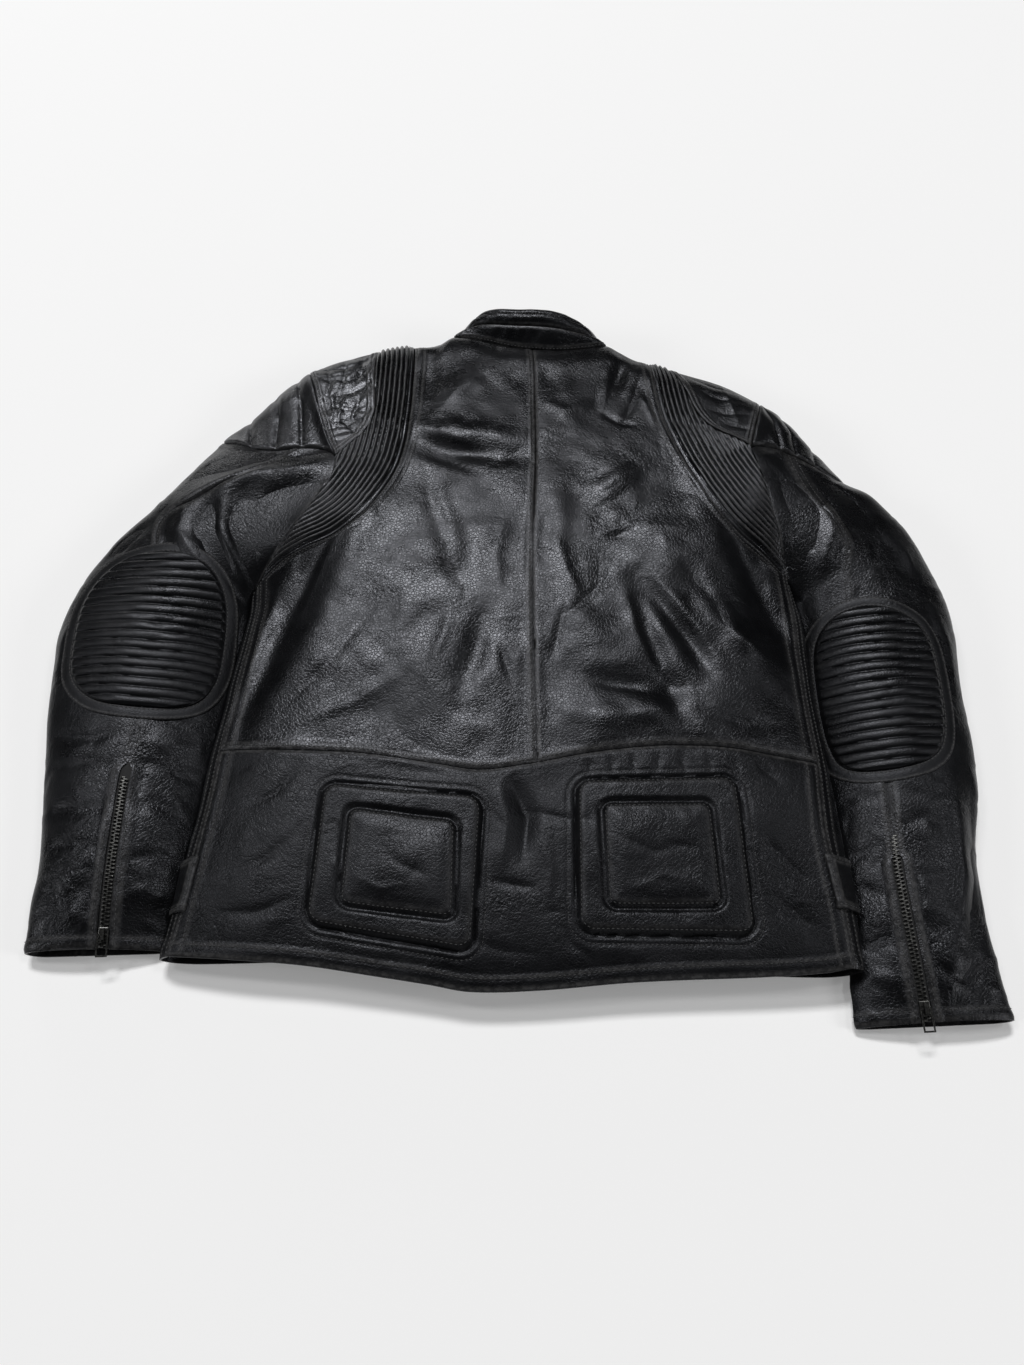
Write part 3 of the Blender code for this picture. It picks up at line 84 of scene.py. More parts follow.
# Shoulder seams at the top edge of the back. Columns: x, y.
shoulderSeams = {
    "left": [
        (-202, 749), (-181, 760), (-160, 769), (-135, 777), (-115, 782),
        (-100, 784), (-76, 788), (-60, 800),
    ],
    "right": [
        (242, 706), (226, 719), (201, 735), (173, 746), (157, 752),
        (138, 761), (122, 769), (109, 779), (96, 788),
    ],
}
shoulderFall = 34.0
shoulderDrop = 10.0
# Centre back seam and the seam over the kidney panel. Columns: x, y.
centreBack = [(20, 783), (22, 745), (22, 709), (22, 631), (19, 553), (18, 477), (19, 400), (20, 326)]
kidneyTop = {
    "left": [(-237, 340), (-179, 337), (-119, 334), (-60, 325), (-25, 320), (20, 326)],
    "right": [(20, 326), (60, 334), (99, 339), (139, 341), (179, 338), (214, 332), (245, 327)],
}
hemBack = [
    (-255, 176), (-203, 172), (-152, 168), (-102, 161), (-61, 155), (-30, 150), (20, 151),
    (81, 156), (122, 158), (182, 160), (230, 163), (249, 166),
]
# Stretch strips down the back of each armhole: edge on the body, then edge on the arm. Columns: x, y.
stripBody = {
    "left": [
        (-99, 784), (-97, 760), (-97, 731), (-98, 690), (-101, 651), (-107, 619), (-119, 590),
        (-135, 565), (-156, 546), (-185, 531), (-207, 521), (-228, 508),
    ],
    "right": [
        (138, 761), (141, 713), (145, 681), (153, 651), (163, 621), (176, 592), (191, 565),
        (204, 548), (216, 536), (230, 524), (245, 512),
    ],
}
stripPatch = {
    "left": [
        (-135, 777), (-135, 733), (-132, 700), (-134, 680), (-142, 661),
        (-152, 649), (-165, 634),
    ],
    "right": [
        (160, 751), (166, 733), (172, 714), (177, 693), (186, 674),
        (198, 663), (213, 654), (225, 645),
    ],
}
# Armhole seam below the shoulder patch, from the patch corner to the underarm. Columns: x, y.
armLowRows = {
    "left": [
        (-165, 634), (-166, 617), (-173, 597), (-187, 569), (-205, 539),
        (-228, 508),
    ],
    "right": [
        (225, 645), (231, 618), (236, 588), (240, 560), (243, 534),
        (245, 512),
    ],
}
# Armhole seam beside the shoulder patch, from the patch corner up to the shoulder. Columns: x, y.
armTopRows = {
    "left": [(-165, 634), (-174, 655), (-184, 685), (-195, 726), (-202, 749)],
    "right": [(225, 645), (230, 663), (237, 687), (242, 706)],
}
# Seam under the shoulder pad, from the patch corner to the outer edge of the arm. Columns: x, y, z.
padLowRows = {
    "left": [
        (-165, 634, 50), (-178, 644, 52), (-200, 646, 52), (-226, 645, 50), (-245, 650, 47),
        (-264, 662, 41), (-284, 674, 28),
    ],
    "right": [
        (225, 645, 50), (238, 648, 52), (250, 645, 52), (264, 639, 50), (280, 631, 47),
        (296, 622, 42), (318, 618, 28),
    ],
}
# Rings of each sleeve below the shoulder pad. Columns: outer x, y, z; inner x, y, z; crown z.
armRings = {
    "left": [
        (-309, 634, 26, -234, 484, 12, 51),
        (-338, 592, 24, -232, 470, 8, 48),
        (-366, 555, 23, -233, 458, 7, 46),
        (-388, 506, 23, -235, 444, 6, 44),
        (-398, 456, 22, -237, 420, 6, 43),
        (-393, 407, 21, -240, 388, 6, 41),
        (-387, 362, 19, -244, 350, 6, 38),
        (-381, 315, 17, -247, 308, 6, 36),
        (-372, 265, 15, -251, 262, 6, 33),
        (-369, 222, 14, -256, 222, 5, 29),
        (-367, 181, 11, -261, 184, 5, 21),
    ],
    "right": [
        (334, 601, 26, 252, 486, 12, 51),
        (358, 566, 24, 253, 470, 8, 48),
        (376, 530, 23, 256, 454, 7, 46),
        (387, 488, 22, 256, 436, 6, 44),
        (389, 452, 21, 255, 410, 6, 42),
        (384, 405, 20, 255, 378, 6, 40),
        (382, 355, 19, 257, 335, 6, 38),
        (377, 306, 17, 258, 290, 6, 36),
        (366, 262, 15, 258, 245, 6, 33),
        (362, 212, 14, 256, 200, 6, 30),
        (364, 170, 12, 253, 160, 6, 26),
        (367, 133, 10, 252, 128, 6, 20),
    ],
}
# Back-arm seam from the pad seam to the cuff. Columns: x, y.
armSeams = {
    "left": [
        (-200, 646), (-213, 612), (-238, 603), (-267, 594), (-298, 585), (-319, 572), (-318, 540),
        (-314, 460), (-309, 376), (-308, 340), (-310, 300), (-308, 243), (-306, 178),
    ],
    "right": [
        (264, 639), (273, 626), (288, 598), (295, 574), (297, 536), (296, 470), (300, 400),
        (301, 320), (299, 290), (297, 262), (297, 200), (300, 130),
    ],
}
# Where each cuff zip starts down its sleeve, from 0 to 1, and half the width it opens.
sleeves = {
    "left": {"zipFrom": 0.69, "zipHalf": 4.6},
    "right": {"zipFrom": 0.74, "zipHalf": 4.6},
}
# Elbow pads. Columns of the outline: x, y, all round from the top.
elbowRows = {
    "left": [
        (-308, 529), (-350, 519), (-373, 486), (-375, 440), (-369, 405), (-345, 383), (-306, 377),
        (-270, 384), (-255, 408), (-252, 448), (-255, 490), (-273, 518),
    ],
    "right": [
        (312, 474), (342, 462), (356, 440), (358, 400), (352, 352), (335, 330), (302, 322),
        (274, 328), (264, 352), (262, 400), (266, 446), (282, 468),
    ],
}
# Largest folds of the back. Columns: x, y at start, middle and end; half width; height.
folds = [
    (-95, 652, -60, 640, 12, 632, 12, -4.5),
    (-92, 672, -45, 661, 8, 652, 12, 2.5),
    (-78, 612, -58, 550, -42, 478, 13, -3.0),
    (-22, 468, -32, 425, -46, 378, 12, -3.5),
    (-163, 543, -184, 480, -222, 376, 15, -7.0),
    (112, 500, 146, 446, 164, 408, 10, -4.5),
    (106, 490, 118, 430, 144, 342, 10, -3.5),
    (198, 556, 214, 500, 236, 424, 13, -7.5),
    (40, 476, 62, 452, 88, 430, 16, 2.4), (176, 470, 190, 440, 204, 420, 13, 4.2),
    (-120, 620, -132, 560, -150, 500, 18, 3.0), (-60, 700, -50, 722, -30, 738, 16, 2.2),
    (-100, 520, -92, 470, -96, 420, 16, 2.4), (60, 660, 84, 690, 96, 724, 12, -2.2),
    (50, 404, 96, 396, 150, 392, 10, -2.2), (30, 372, 90, 366, 160, 372, 12, 2.4),
    (34, 620, 44, 560, 40, 520, 12, 1.8), (150, 640, 170, 600, 176, 560, 14, 2.0),
    (78, 590, 98, 606, 118, 620, 10, 2.6),
    (86, 538, 95, 543, 104, 548, 6, -0.9),
    (112, 758, 106, 740, 100, 716, 8, -3.4),
    (-82, 772, -84, 740, -78, 700, 12, -3.5),
    (2, 312, 12, 282, 8, 248, 9, -3.5),
]
# Lower layer round each armhole, from the underarm seam to the shoulder point. Columns: x, y, z.
armUnderRows = {
    "left": [
        (-228, 508, 26), (-236, 500, 17), (-235, 503, 7), (-224, 517, 1), (-206, 541, 0),
        (-188, 572, 0), (-174, 604, 0), (-165, 634, 0), (-176, 664, 0), (-190, 694, 0),
        (-198, 727, 1.5), (-204, 749, 10), (-207, 756, 27), (-202, 749, 41),
    ],
    "right": [
        (245, 512, 31), (252, 500, 18), (251, 504, 8), (247, 518, 1), (244, 545, 0),
        (239, 575, 0), (232, 612, 0), (225, 645, 0), (230, 661, 0), (235, 675, 0),
        (239, 688, 1.5), (244, 706, 10), (247, 713, 27), (242, 706, 41),
    ],
}
cornerRow = 7  # the row of that layer at the patch corner
# Where rows 0 to 8 of the lower layer meet the centre front. Column: y.
frontEndY = {
    "left": (497, 501, 507, 519, 541, 572, 604, 636, 672),
    "right": (500, 504, 510, 522, 546, 575, 612, 646, 674),
}
# Underside of the shoulder pad's lower seam, from the patch corner out to the arm's edge.
padUnderRows = {
    "left": [(-165, 634, 0), (-200, 646, 0), (-245, 654, 0), (-272, 666, 6), (-284, 674, 28)],
    "right": [(225, 645, 0), (250, 646, 0), (276, 636, 0), (304, 624, 6), (318, 618, 28)],
}
# Collar sections round the neck. Columns: neck x, y, z; groove x, y, z; top x, y, z.
collarRows = [
    (13, 744, 0, 10, 768, 1, 8, 786, 3),
    (-16, 753, 0, -18, 778, 1, -16, 800, 3),
    (-44, 774, 3, -40, 797, 5, -32, 812, 8),
    (-67, 801, 24, -54, 816, 28, -38, 827, 34),
    (-60, 800, 45, -45, 812, 48, -30, 825, 52),
    (-45, 799, 49, -36, 811, 54, -24, 825, 59),
    (-30, 795, 52, -24, 808, 58, -14, 823, 64),
    (0, 786, 55, 4, 803, 61, 8, 819, 67),
    (20, 783, 56, 22, 801, 62, 22, 818, 68),
    (49, 781, 55, 46, 799, 61, 40, 818, 66),
    (75, 784, 50, 66, 797, 57, 54, 817, 61),
    (96, 788, 44, 82, 797, 50, 68, 813, 54),
    (104, 790, 24, 92, 804, 27, 76, 815, 32),
    (82, 770, 3, 76, 792, 4, 64, 806, 7),
    (56, 753, 0, 55, 777, 1, 50, 798, 3),
    (27, 744, 0, 30, 768, 1, 32, 786, 3),
]
# Rows of the collar at the left shoulder, the centre back and the right shoulder.
backNeck = (4, 8, 11)
# Hidden lower layer: x of the centre front, half the gap for its zip, how far its hem lies behind the back's.
centreFront = 20.0
frontGapHalf = 7.0
frontHemSetBack = 7.0


def slopes(keys, values):
    # Slopes of a smooth line through the rows, flat where the values turn.
    step = np.diff(keys)
    rise = np.diff(values, axis=0) / step[:, None]
    inside = np.where(rise[1:] * rise[:-1] > 0, 1.0, 0.0)
    blend = 2.0 * rise[1:] * rise[:-1] / np.where(inside > 0, rise[1:] + rise[:-1], 1.0)
    middle = np.where(inside > 0, blend, 0.0)
    return np.concatenate([rise[:1], middle, rise[-1:]])


def bent(low, high, leaving, arriving, t):
    # A cubic from low to high, with the slopes that it leaves and arrives by.
    return (
        low * (1 + 2 * t) * (1 - t) ** 2
        + high * t * t * (3 - 2 * t)
        + leaving * t * (1 - t) ** 2
        - arriving * t * t * (1 - t)
    )


def through(keys, values, at):
    # Smooth values at each position of a table whose keys rise.
    keys = np.asarray(keys, float)
    values = np.asarray(values, float)
    flat = values.ndim == 1
    values = values[:, None] if flat else values
    at = np.clip(np.asarray(at, float), keys[0], keys[-1])
    steep = slopes(keys, values)
    row = np.clip(np.searchsorted(keys, at, side="right") - 1, 0, len(keys) - 2)
    span = (keys[row + 1] - keys[row])[..., None]
    t = (at - keys[row])[..., None] / span
    found = bent(values[row], values[row + 1], steep[row] * span, steep[row + 1] * span, t)
    return found[..., 0] if flat else found


def column(table, at):
    rows = np.array(table, float)
    return through(rows[:, 0], rows[:, 1], at)


def reach(rows):
    # Distance along a line of points, from 0 to 1.
    rows = np.asarray(rows, float)
    steps = np.linalg.norm(np.diff(rows[:, :2], axis=0), axis=1)
    steps = np.hypot(steps, np.diff(rows[:, 2]) if rows.shape[1] > 2 else 0.0)
    along = np.concatenate([[0.0], np.cumsum(steps)])
    return along / along[-1]


def line(rows):
    # A smooth curve through the rows, as a function of 0 to 1.
    rows = np.array(rows, float)
    keys = reach(rows)
    return lambda t: rounded(keys, rows, t)


def rounded(keys, rows, at):
    # Rounded curve through points on the plan, which may turn any way.
    at = np.clip(np.asarray(at, float), 0.0, 1.0)
    ahead = np.empty_like(rows)
    ahead[1:-1] = (rows[2:] - rows[:-2]) / (keys[2:] - keys[:-2])[:, None]
    ahead[0] = (rows[1] - rows[0]) / (keys[1] - keys[0])
    ahead[-1] = (rows[-1] - rows[-2]) / (keys[-1] - keys[-2])
    row = np.clip(np.searchsorted(keys, at, side="right") - 1, 0, len(keys) - 2)
    span = (keys[row + 1] - keys[row])[..., None]
    t = (at - keys[row])[..., None] / span
    return bent(rows[row], rows[row + 1], ahead[row] * span, ahead[row + 1] * span, t)


def unit(v):
    # the same directions, each of length 1
    return v / np.maximum(np.linalg.norm(v, axis=-1, keepdims=True), 1e-9)


def fade(distance, width, power=2.2):
    # 1 at no distance, falling to 0 at the width
    return np.clip(1.0 - distance / width, 0.0, 1.0) ** power


def spread(count, start=0.0, end=1.0):
    # evenly spaced values, both ends included
    return np.linspace(start, end, count)


def joined(*runs):
    # runs of values in one, each end shared with the next start
    return np.concatenate([runs[0]] + [run[1:] for run in runs[1:]])


def fill(low, high, start, end):
    # A sheet of points between four lines: low and high run along it, start and end across.
    a = reachMean(low, high)[:, None, None]
    b = reachMean(start, end)[None, :, None]
    along = low[:, None] * (1 - b) + high[:, None] * b
    across = start[None] * (1 - a) + end[None] * a
    corner = low[0] * (1 - a) * (1 - b) + low[-1] * a * (1 - b) + high[0] * (1 - a) * b + high[-1] * a * b
    return along + across - corner


def reachMean(first, second):
    # distances along two facing lines, averaged
    return 0.5 * (reach(first) + reach(second))


def sheetNormals(points, wrap=False):
    # directions square to a grid of points
    if wrap:
        padded = np.concatenate([points[-2:-1], points, points[1:2]])
        da = padded[2:] - padded[:-2]
    else:
        da = np.gradient(points, axis=0)
    return unit(np.cross(da, np.gradient(points, axis=1)))


def shoulderY(x):
    # the top edge of the back, over the shoulders and round the neck
    neck = [row[:2] for row in collarRows[backNeck[0] : backNeck[2] + 1]]
    rows = sorted(shoulderSeams["left"][:-1] + neck + shoulderSeams["right"][:-1])
    return through([row[0] for row in rows], [row[1] for row in rows], x)


def creaseHeight(x, y, table, sharp=0.0):
    # soft troughs and ridges, each a line bent once that fades at both ends
    total = np.zeros_like(x)
    for x0, y0, x1, y1, x2, y2, width, height in table:
        far = 3.5 * width
        near = (x > min(x0, x1, x2) - far) & (x < max(x0, x1, x2) + far)
        near &= (y > min(y0, y1, y2) - far) & (y < max(y0, y1, y2) + far)
        if not near.any():
            continue
        px, py = x[near], y[near]
        best, where = np.full_like(px, 1e9), np.zeros_like(px)
        for number, (ax, ay, bx, by) in enumerate(((x0, y0, x1, y1), (x1, y1, x2, y2))):
            dx, dy = bx - ax, by - ay
            t = np.clip(((px - ax) * dx + (py - ay) * dy) / (dx * dx + dy * dy), 0, 1)
            gap = np.hypot(px - ax - t * dx, py - ay - t * dy)
            where = np.where(gap < best, 0.5 * (number + t), where)
            best = np.minimum(gap, best)
        soft = np.exp(-((best / width) ** 2))
        cusp = np.exp(-np.sqrt(best**2 + 0.4) / (0.62 * width))
        total[near] += height * (soft * (1 - sharp) + cusp * sharp) * (0.25 + 0.75 * np.sin(np.pi * where))
    return total


def softNoise(x, y, size, seed):
    # smooth seeded unevenness from -1 to 1, with bumps about one size across
    lattice = np.random.default_rng(seed).uniform(-1, 1, (64, 64))
    gx, gy = x / size + 31.7, y / size + 17.3
    ix, iy = np.floor(gx).astype(int), np.floor(gy).astype(int)
    fx, fy = gx - ix, gy - iy
    fx, fy = fx * fx * (3 - 2 * fx), fy * fy * (3 - 2 * fy)
    a, b = lattice[ix % 64, iy % 64], lattice[(ix + 1) % 64, iy % 64]
    c, d = lattice[ix % 64, (iy + 1) % 64], lattice[(ix + 1) % 64, (iy + 1) % 64]
    return (a * (1 - fx) + b * fx) * (1 - fy) + (c * (1 - fx) + d * fx) * fy


def turnedNoise(x, y, size, seed, turn, stretch):
    # the same, longer along one direction
    c, s = math.cos(math.radians(turn)), math.sin(math.radians(turn))
    return softNoise((x * c + y * s) / stretch, -x * s + y * c, size, seed)


def backZ(x, y):
    # height of the body's top layer before its fine relief
    level = column(backLevel, y)
    left = fade(x - column(fallRows["left"], y), fallWidth) * column(fallDrops["left"], y)
    right = fade(column(fallRows["right"], y) - x, fallWidth) * column(fallDrops["right"], y)
    top = fade(shoulderY(x) - y, shoulderFall) * shoulderDrop
    return level - left - right - top + creaseHeight(x, y, folds)


def lift(plan):
    # plan points put on the body's top layer
    plan = np.asarray(plan, float)[..., :2]
    z = backZ(plan[..., 0], plan[..., 1])
    return np.concatenate([plan, z[..., None]], axis=-1)


def lean(points):
    # direction square enough to the top layer that its walls are built along
    x, y = points[..., 0], points[..., 1]
    gx = fade(column(fallRows["right"], y) - x, 60.0, 1.5) - fade(x - column(fallRows["left"], y), 60.0, 1.5)
    gy = fade(shoulderY(x) - y, 30.0, 1.5)
    return unit(np.stack([0.6 * gx, 0.6 * gy, np.ones_like(x)], axis=-1))


def sideDistances(points):
    # distance of every point from each side of its sheet
    across = np.linalg.norm(np.diff(points, axis=1), axis=-1)
    down = np.linalg.norm(np.diff(points, axis=0), axis=-1)
    low = np.concatenate([np.zeros((len(points), 1)), np.cumsum(across, axis=1)], axis=1)
    start = np.concatenate([np.zeros((1, points.shape[1])), np.cumsum(down, axis=0)])
    return {"low": low, "high": low[:, -1:] - low, "start": start, "end": start[-1:] - start}


def smoothStep(value):
    # 0 below 0, 1 above 1 and eased between
    value = np.clip(value, 0, 1)
    return value * value * (3 - 2 * value)


seamKinds = {
    # dip at the seam itself, how far it reaches, raised band beside it, and its rows of stitching
    "plain": {"dip": 0.9, "reach": 1.5, "band": 0.0, "raise": 0.0, "stitches": []},
    "under": {"dip": 1.2, "reach": 2.2, "band": 0.0, "raise": 0.0, "stitches": []},
    "topstitched": {"dip": 0.9, "reach": 1.3, "band": 5.0, "raise": 0.5, "stitches": [3.0]},
    "double": {"dip": 0.9, "reach": 1.3, "band": 10.0, "raise": 0.6, "stitches": [2.6, 9.0]},
    "hem": {"dip": 1.0, "reach": 1.2, "band": 10.0, "raise": 0.9, "stitches": [9.0]},
    "cuff": {"dip": 0.8, "reach": 1.2, "band": 9.0, "raise": 0.8, "stitches": [8.5]},
    "welt": {"dip": 0.7, "reach": 1.0, "band": 6.5, "raise": 1.0, "stitches": [5.0]},
}


def seamRise(sides, kinds):
    total = np.zeros_like(sides["low"])
    for side, kind in kinds.items():
        facts, d = seamKinds[kind], sides[side]
        total -= facts["dip"] * np.exp(-((d / facts["reach"]) ** 2))
        if facts["band"]:
            total += facts["raise"] * (1 - smoothStep((d - facts["band"]) / 2.0))
        for offset in facts["stitches"]:
            total -= 0.55 * np.exp(-(((d - offset) / 1.0) ** 2))
    return total


def seamWear(sides, kinds):
    # rubbed, greyer leather along the turned edges
    total = np.zeros_like(sides["low"])
    for side, kind in kinds.items():
        d, band = sides[side], seamKinds[kind]["band"]
        total = np.maximum(total, np.exp(-(((d - 1.6) / 1.4) ** 2)))
        if band:
            total = np.maximum(total, 0.8 * np.exp(-(((d - band) / 1.2) ** 2)))
    return total


def meshObject(name, points, faces, smooth=True):
    mesh = bpy.data.meshes.new(name)
    mesh.from_pydata(((points - origin) * mm).tolist(), [], faces)
    mesh.polygons.foreach_set("use_smooth", np.full(len(mesh.polygons), smooth))
    thing = bpy.data.objects.new(name, mesh)
    bpy.context.scene.collection.objects.link(thing)
    return thing


def gridMesh(name, outer, inner, wrap=False, wear=None):
    # one closed wall between two grids of points
    rows, cols = outer.shape[:2]
    outer = np.concatenate([outer[..., :2], np.maximum(outer[..., 2:], 0.0)], axis=-1)
    inner = np.concatenate([inner[..., :2], np.maximum(inner[..., 2:], 0.3)], axis=-1)
    if wear is None:
        wear = np.zeros((rows, cols))
    if wrap:
        outer, inner, wear, rows = outer[:-1], inner[:-1], wear[:-1], rows - 1
    half = rows * cols
    grid = np.arange(half).reshape(rows, cols)
    ring = np.concatenate([grid, grid[:1]]) if wrap else grid
    quads = np.stack([ring[:-1, :-1], ring[1:, :-1], ring[1:, 1:], ring[:-1, 1:]], -1).reshape(-1, 4)
    faces = [quads, quads[:, ::-1] + half]
    for j in (0, -1):
        a, b = ring[:-1, j], ring[1:, j]
        side = np.stack([b, a, a + half, b + half], -1)
        faces.append(side if j == 0 else side[:, ::-1])
    if not wrap:
        for i in (0, -1):
            a, b = ring[i, :-1], ring[i, 1:]
            side = np.stack([a, b, b + half, a + half], -1)
            faces.append(side if i == 0 else side[:, ::-1])
    faces = np.concatenate(faces)
    points = np.concatenate([outer.reshape(-1, 3), inner.reshape(-1, 3)])
    a, b, d = points[quads[:, 0]], points[quads[:, 1]], points[quads[:, 3]]
    facing = (np.cross(b - a, d - a) * (points[quads[:, 0]] - points[quads[:, 0] + half])).sum()
    if facing < 0:
        faces = faces[:, ::-1]
    thing = meshObject(name, points, faces.tolist())
    mark = thing.data.attributes.new("wear", "FLOAT", "POINT")
    mark.data.foreach_set("value", np.tile(wear.reshape(-1), 2).astype(np.float32))
    thing.data.set_sharp_from_angle(angle=math.radians(70))
    return thing


def sheetArea(points):
    a = np.cross(points[1:, :-1] - points[:-1, :-1], points[:-1, 1:] - points[:-1, :-1])
    b = np.cross(points[:-1, 1:] - points[1:, 1:], points[1:, :-1] - points[1:, 1:])
    return 0.5 * (np.linalg.norm(a, axis=-1).sum() + np.linalg.norm(b, axis=-1).sum())


def dress(thing, material, replaced=()):
    # puts a finished piece on the jacket, in place of its solid
    thing.data.materials.append(material)
    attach(thing, "jacket")
    if replaced:
        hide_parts(*replaced)


def clothPiece(name, base, way, rise, material, replaced, wear=None, wrap=False,
               thickness=leatherThickness):
    # a thin shell of cloth on the points of its panel; the size it was cut to is worked out but not used
    outer = base + way * rise[..., None]
    outer[..., 2] = np.maximum(outer[..., 2], 0.0)
    thing = gridMesh(name, outer, base - way * thickness, wrap, wear)
    dress(thing, material, replaced)
    sides = sideDistances(base)
    area = sheetArea(base)
    length, width = sides["high"].max(), sides["end"].max()
    if width * length < area:
        length = area / width * 1.01
    return outer


threads = {"points": [], "count": 0}


def offsetLine(outer, sides, side, distance):
    # the line on a sheet at a distance from one of its sides
    away = sides[side]
    if side in ("start", "end"):
        away, outer = away.T, np.swapaxes(outer, 0, 1)
    if side in ("high", "end"):
        away, outer = away[:, ::-1], outer[:, ::-1]
    return np.array([
        [np.interp(distance, away[i], outer[i, :, k]) for k in range(3)] for i in range(len(outer))
    ])


# clear: the height above the surface under which no stitch is sewn
stitchFacts = {"pitch": 3.6, "length": 2.7, "width": 0.85, "height": 0.55, "clear": 2.0}


def valuesAt(marks, along, rows):
    # rows of x, y, z read at marks along a line
    return np.stack([np.interp(marks, along, rows[:, k]) for k in range(3)], -1)


def sew(path, normals, trim=3.0):
    # a row of stitches along a line on the leather
    steps = np.linalg.norm(np.diff(path, axis=0), axis=1)
    along = np.concatenate([[0], np.cumsum(steps)])
    if along[-1] < 4 * trim:
        return
    marks = np.arange(trim, along[-1] - trim, stitchFacts["pitch"])
    centre = valuesAt(marks, along, path)
    up = unit(valuesAt(marks, along, normals))
    run = unit(valuesAt(marks + 1.0, along, path) - valuesAt(marks - 1.0, along, path))
    clear = centre[:, 2] > stitchFacts["clear"]
    threads["points"].append((centre[clear], run[clear], up[clear]))
    threads["count"] += int(clear.sum())


def sewSides(outer, way, sides, kinds):
    for side, kind in kinds.items():
        for offset in seamKinds[kind]["stitches"]:
            sew(offsetLine(outer, sides, side, offset), offsetLine(way, sides, side, offset))


def makeThreads(name, material):
    # every sewn stitch so far as one mesh: a short thread with pinched ends
    half, wide, high = (stitchFacts[key] / 2 for key in ("length", "width", "height"))
    outline = [(-half, 0, -0.4)]
    for x in (-half * 0.55, half * 0.55):
        outline += [(x, -wide, 0), (x, 0, high * 1.6), (x, wide, 0), (x, 0, -0.5)]
    outline += [(half, 0, -0.4)]
    outline = np.array(outline)
    faces = []
    for k in range(4):
        n = (k + 1) % 4
        faces += [(0, 1 + n, 1 + k), (1 + k, 1 + n, 5 + n, 5 + k), (9, 5 + k, 5 + n)]
    centre, run, up = (np.concatenate([part[k] for part in threads["points"]]) for k in range(3))
    across = unit(np.cross(up, run))
    points = (
        centre[:, None]
        + run[:, None] * outline[None, :, :1]
        + across[:, None] * outline[None, :, 1:2]
        + up[:, None] * (outline[None, :, 2:] + 0.12)
    )
    every = []
    for number in range(len(centre)):
        every += [tuple(10 * number + v for v in face) for face in faces]
    thing = meshObject(name, points.reshape(-1, 3), every)
    threads["points"].clear()
    dress(thing, material)


def neckShare(row):
    # Where a row of the collar table lies along the neck seam.
    return float(reach(np.array(collarRows, float)[:, :3])[row])


def neckPoints(share):
    # The neck seam all round, lying on the back where it borders it.
    points = line(np.array(collarRows, float)[:, :3])(share)
    first, last = neckShare(backNeck[0]), neckShare(backNeck[2])
    onBack = (share >= first - 1e-6) & (share <= last + 1e-6)
    points[:, 2] = np.where(onBack, backZ(points[:, 0], points[:, 1]), points[:, 2])
    return points


def onSeam(rows):
    # The armhole's lower line with both its ends on the back's top layer.
    rows = np.array(rows, float)
    for end in (0, -1):
        rows[end, 2] = backZ(rows[end, 0], rows[end, 1])
    return rows


def padSeam(rows):
    # The pad seam with its first point on the back's top layer.
    rows = np.array(rows, float)
    rows[0, 2] = backZ(rows[0, 0], rows[0, 1])
    return rows


def ringPoint(row, s, top):
    # A point of a flattened ring: s runs from the arm's outer edge to its inner edge.
    ox, oy, oz, ix, iy, iz, crown = row
    rim = oz + (iz - oz) * s
    outShare, inShare = 0.42, 0.58
    near = np.clip(s / outShare, 0, 1)
    far = np.clip((1 - s) / inShare, 0, 1)
    liftOut = (1 - (1 - near) ** 2.2) ** (1 / 2.2)
    liftIn = (1 - (1 - far) ** 1.45) ** (1 / 1.45)
    over = rim + (crown - rim) * np.where(s < outShare, liftOut, liftIn)
    foot = 0.14
    drop = np.sqrt(np.clip(1 - (1 - np.clip(np.minimum(s, 1 - s) / foot, 0, 1)) ** 2, 0, 1))
    z = np.where(top, over, rim * (1 - drop))
    return np.stack([ox + (ix - ox) * s, oy + (iy - oy) * s, z], axis=-1)


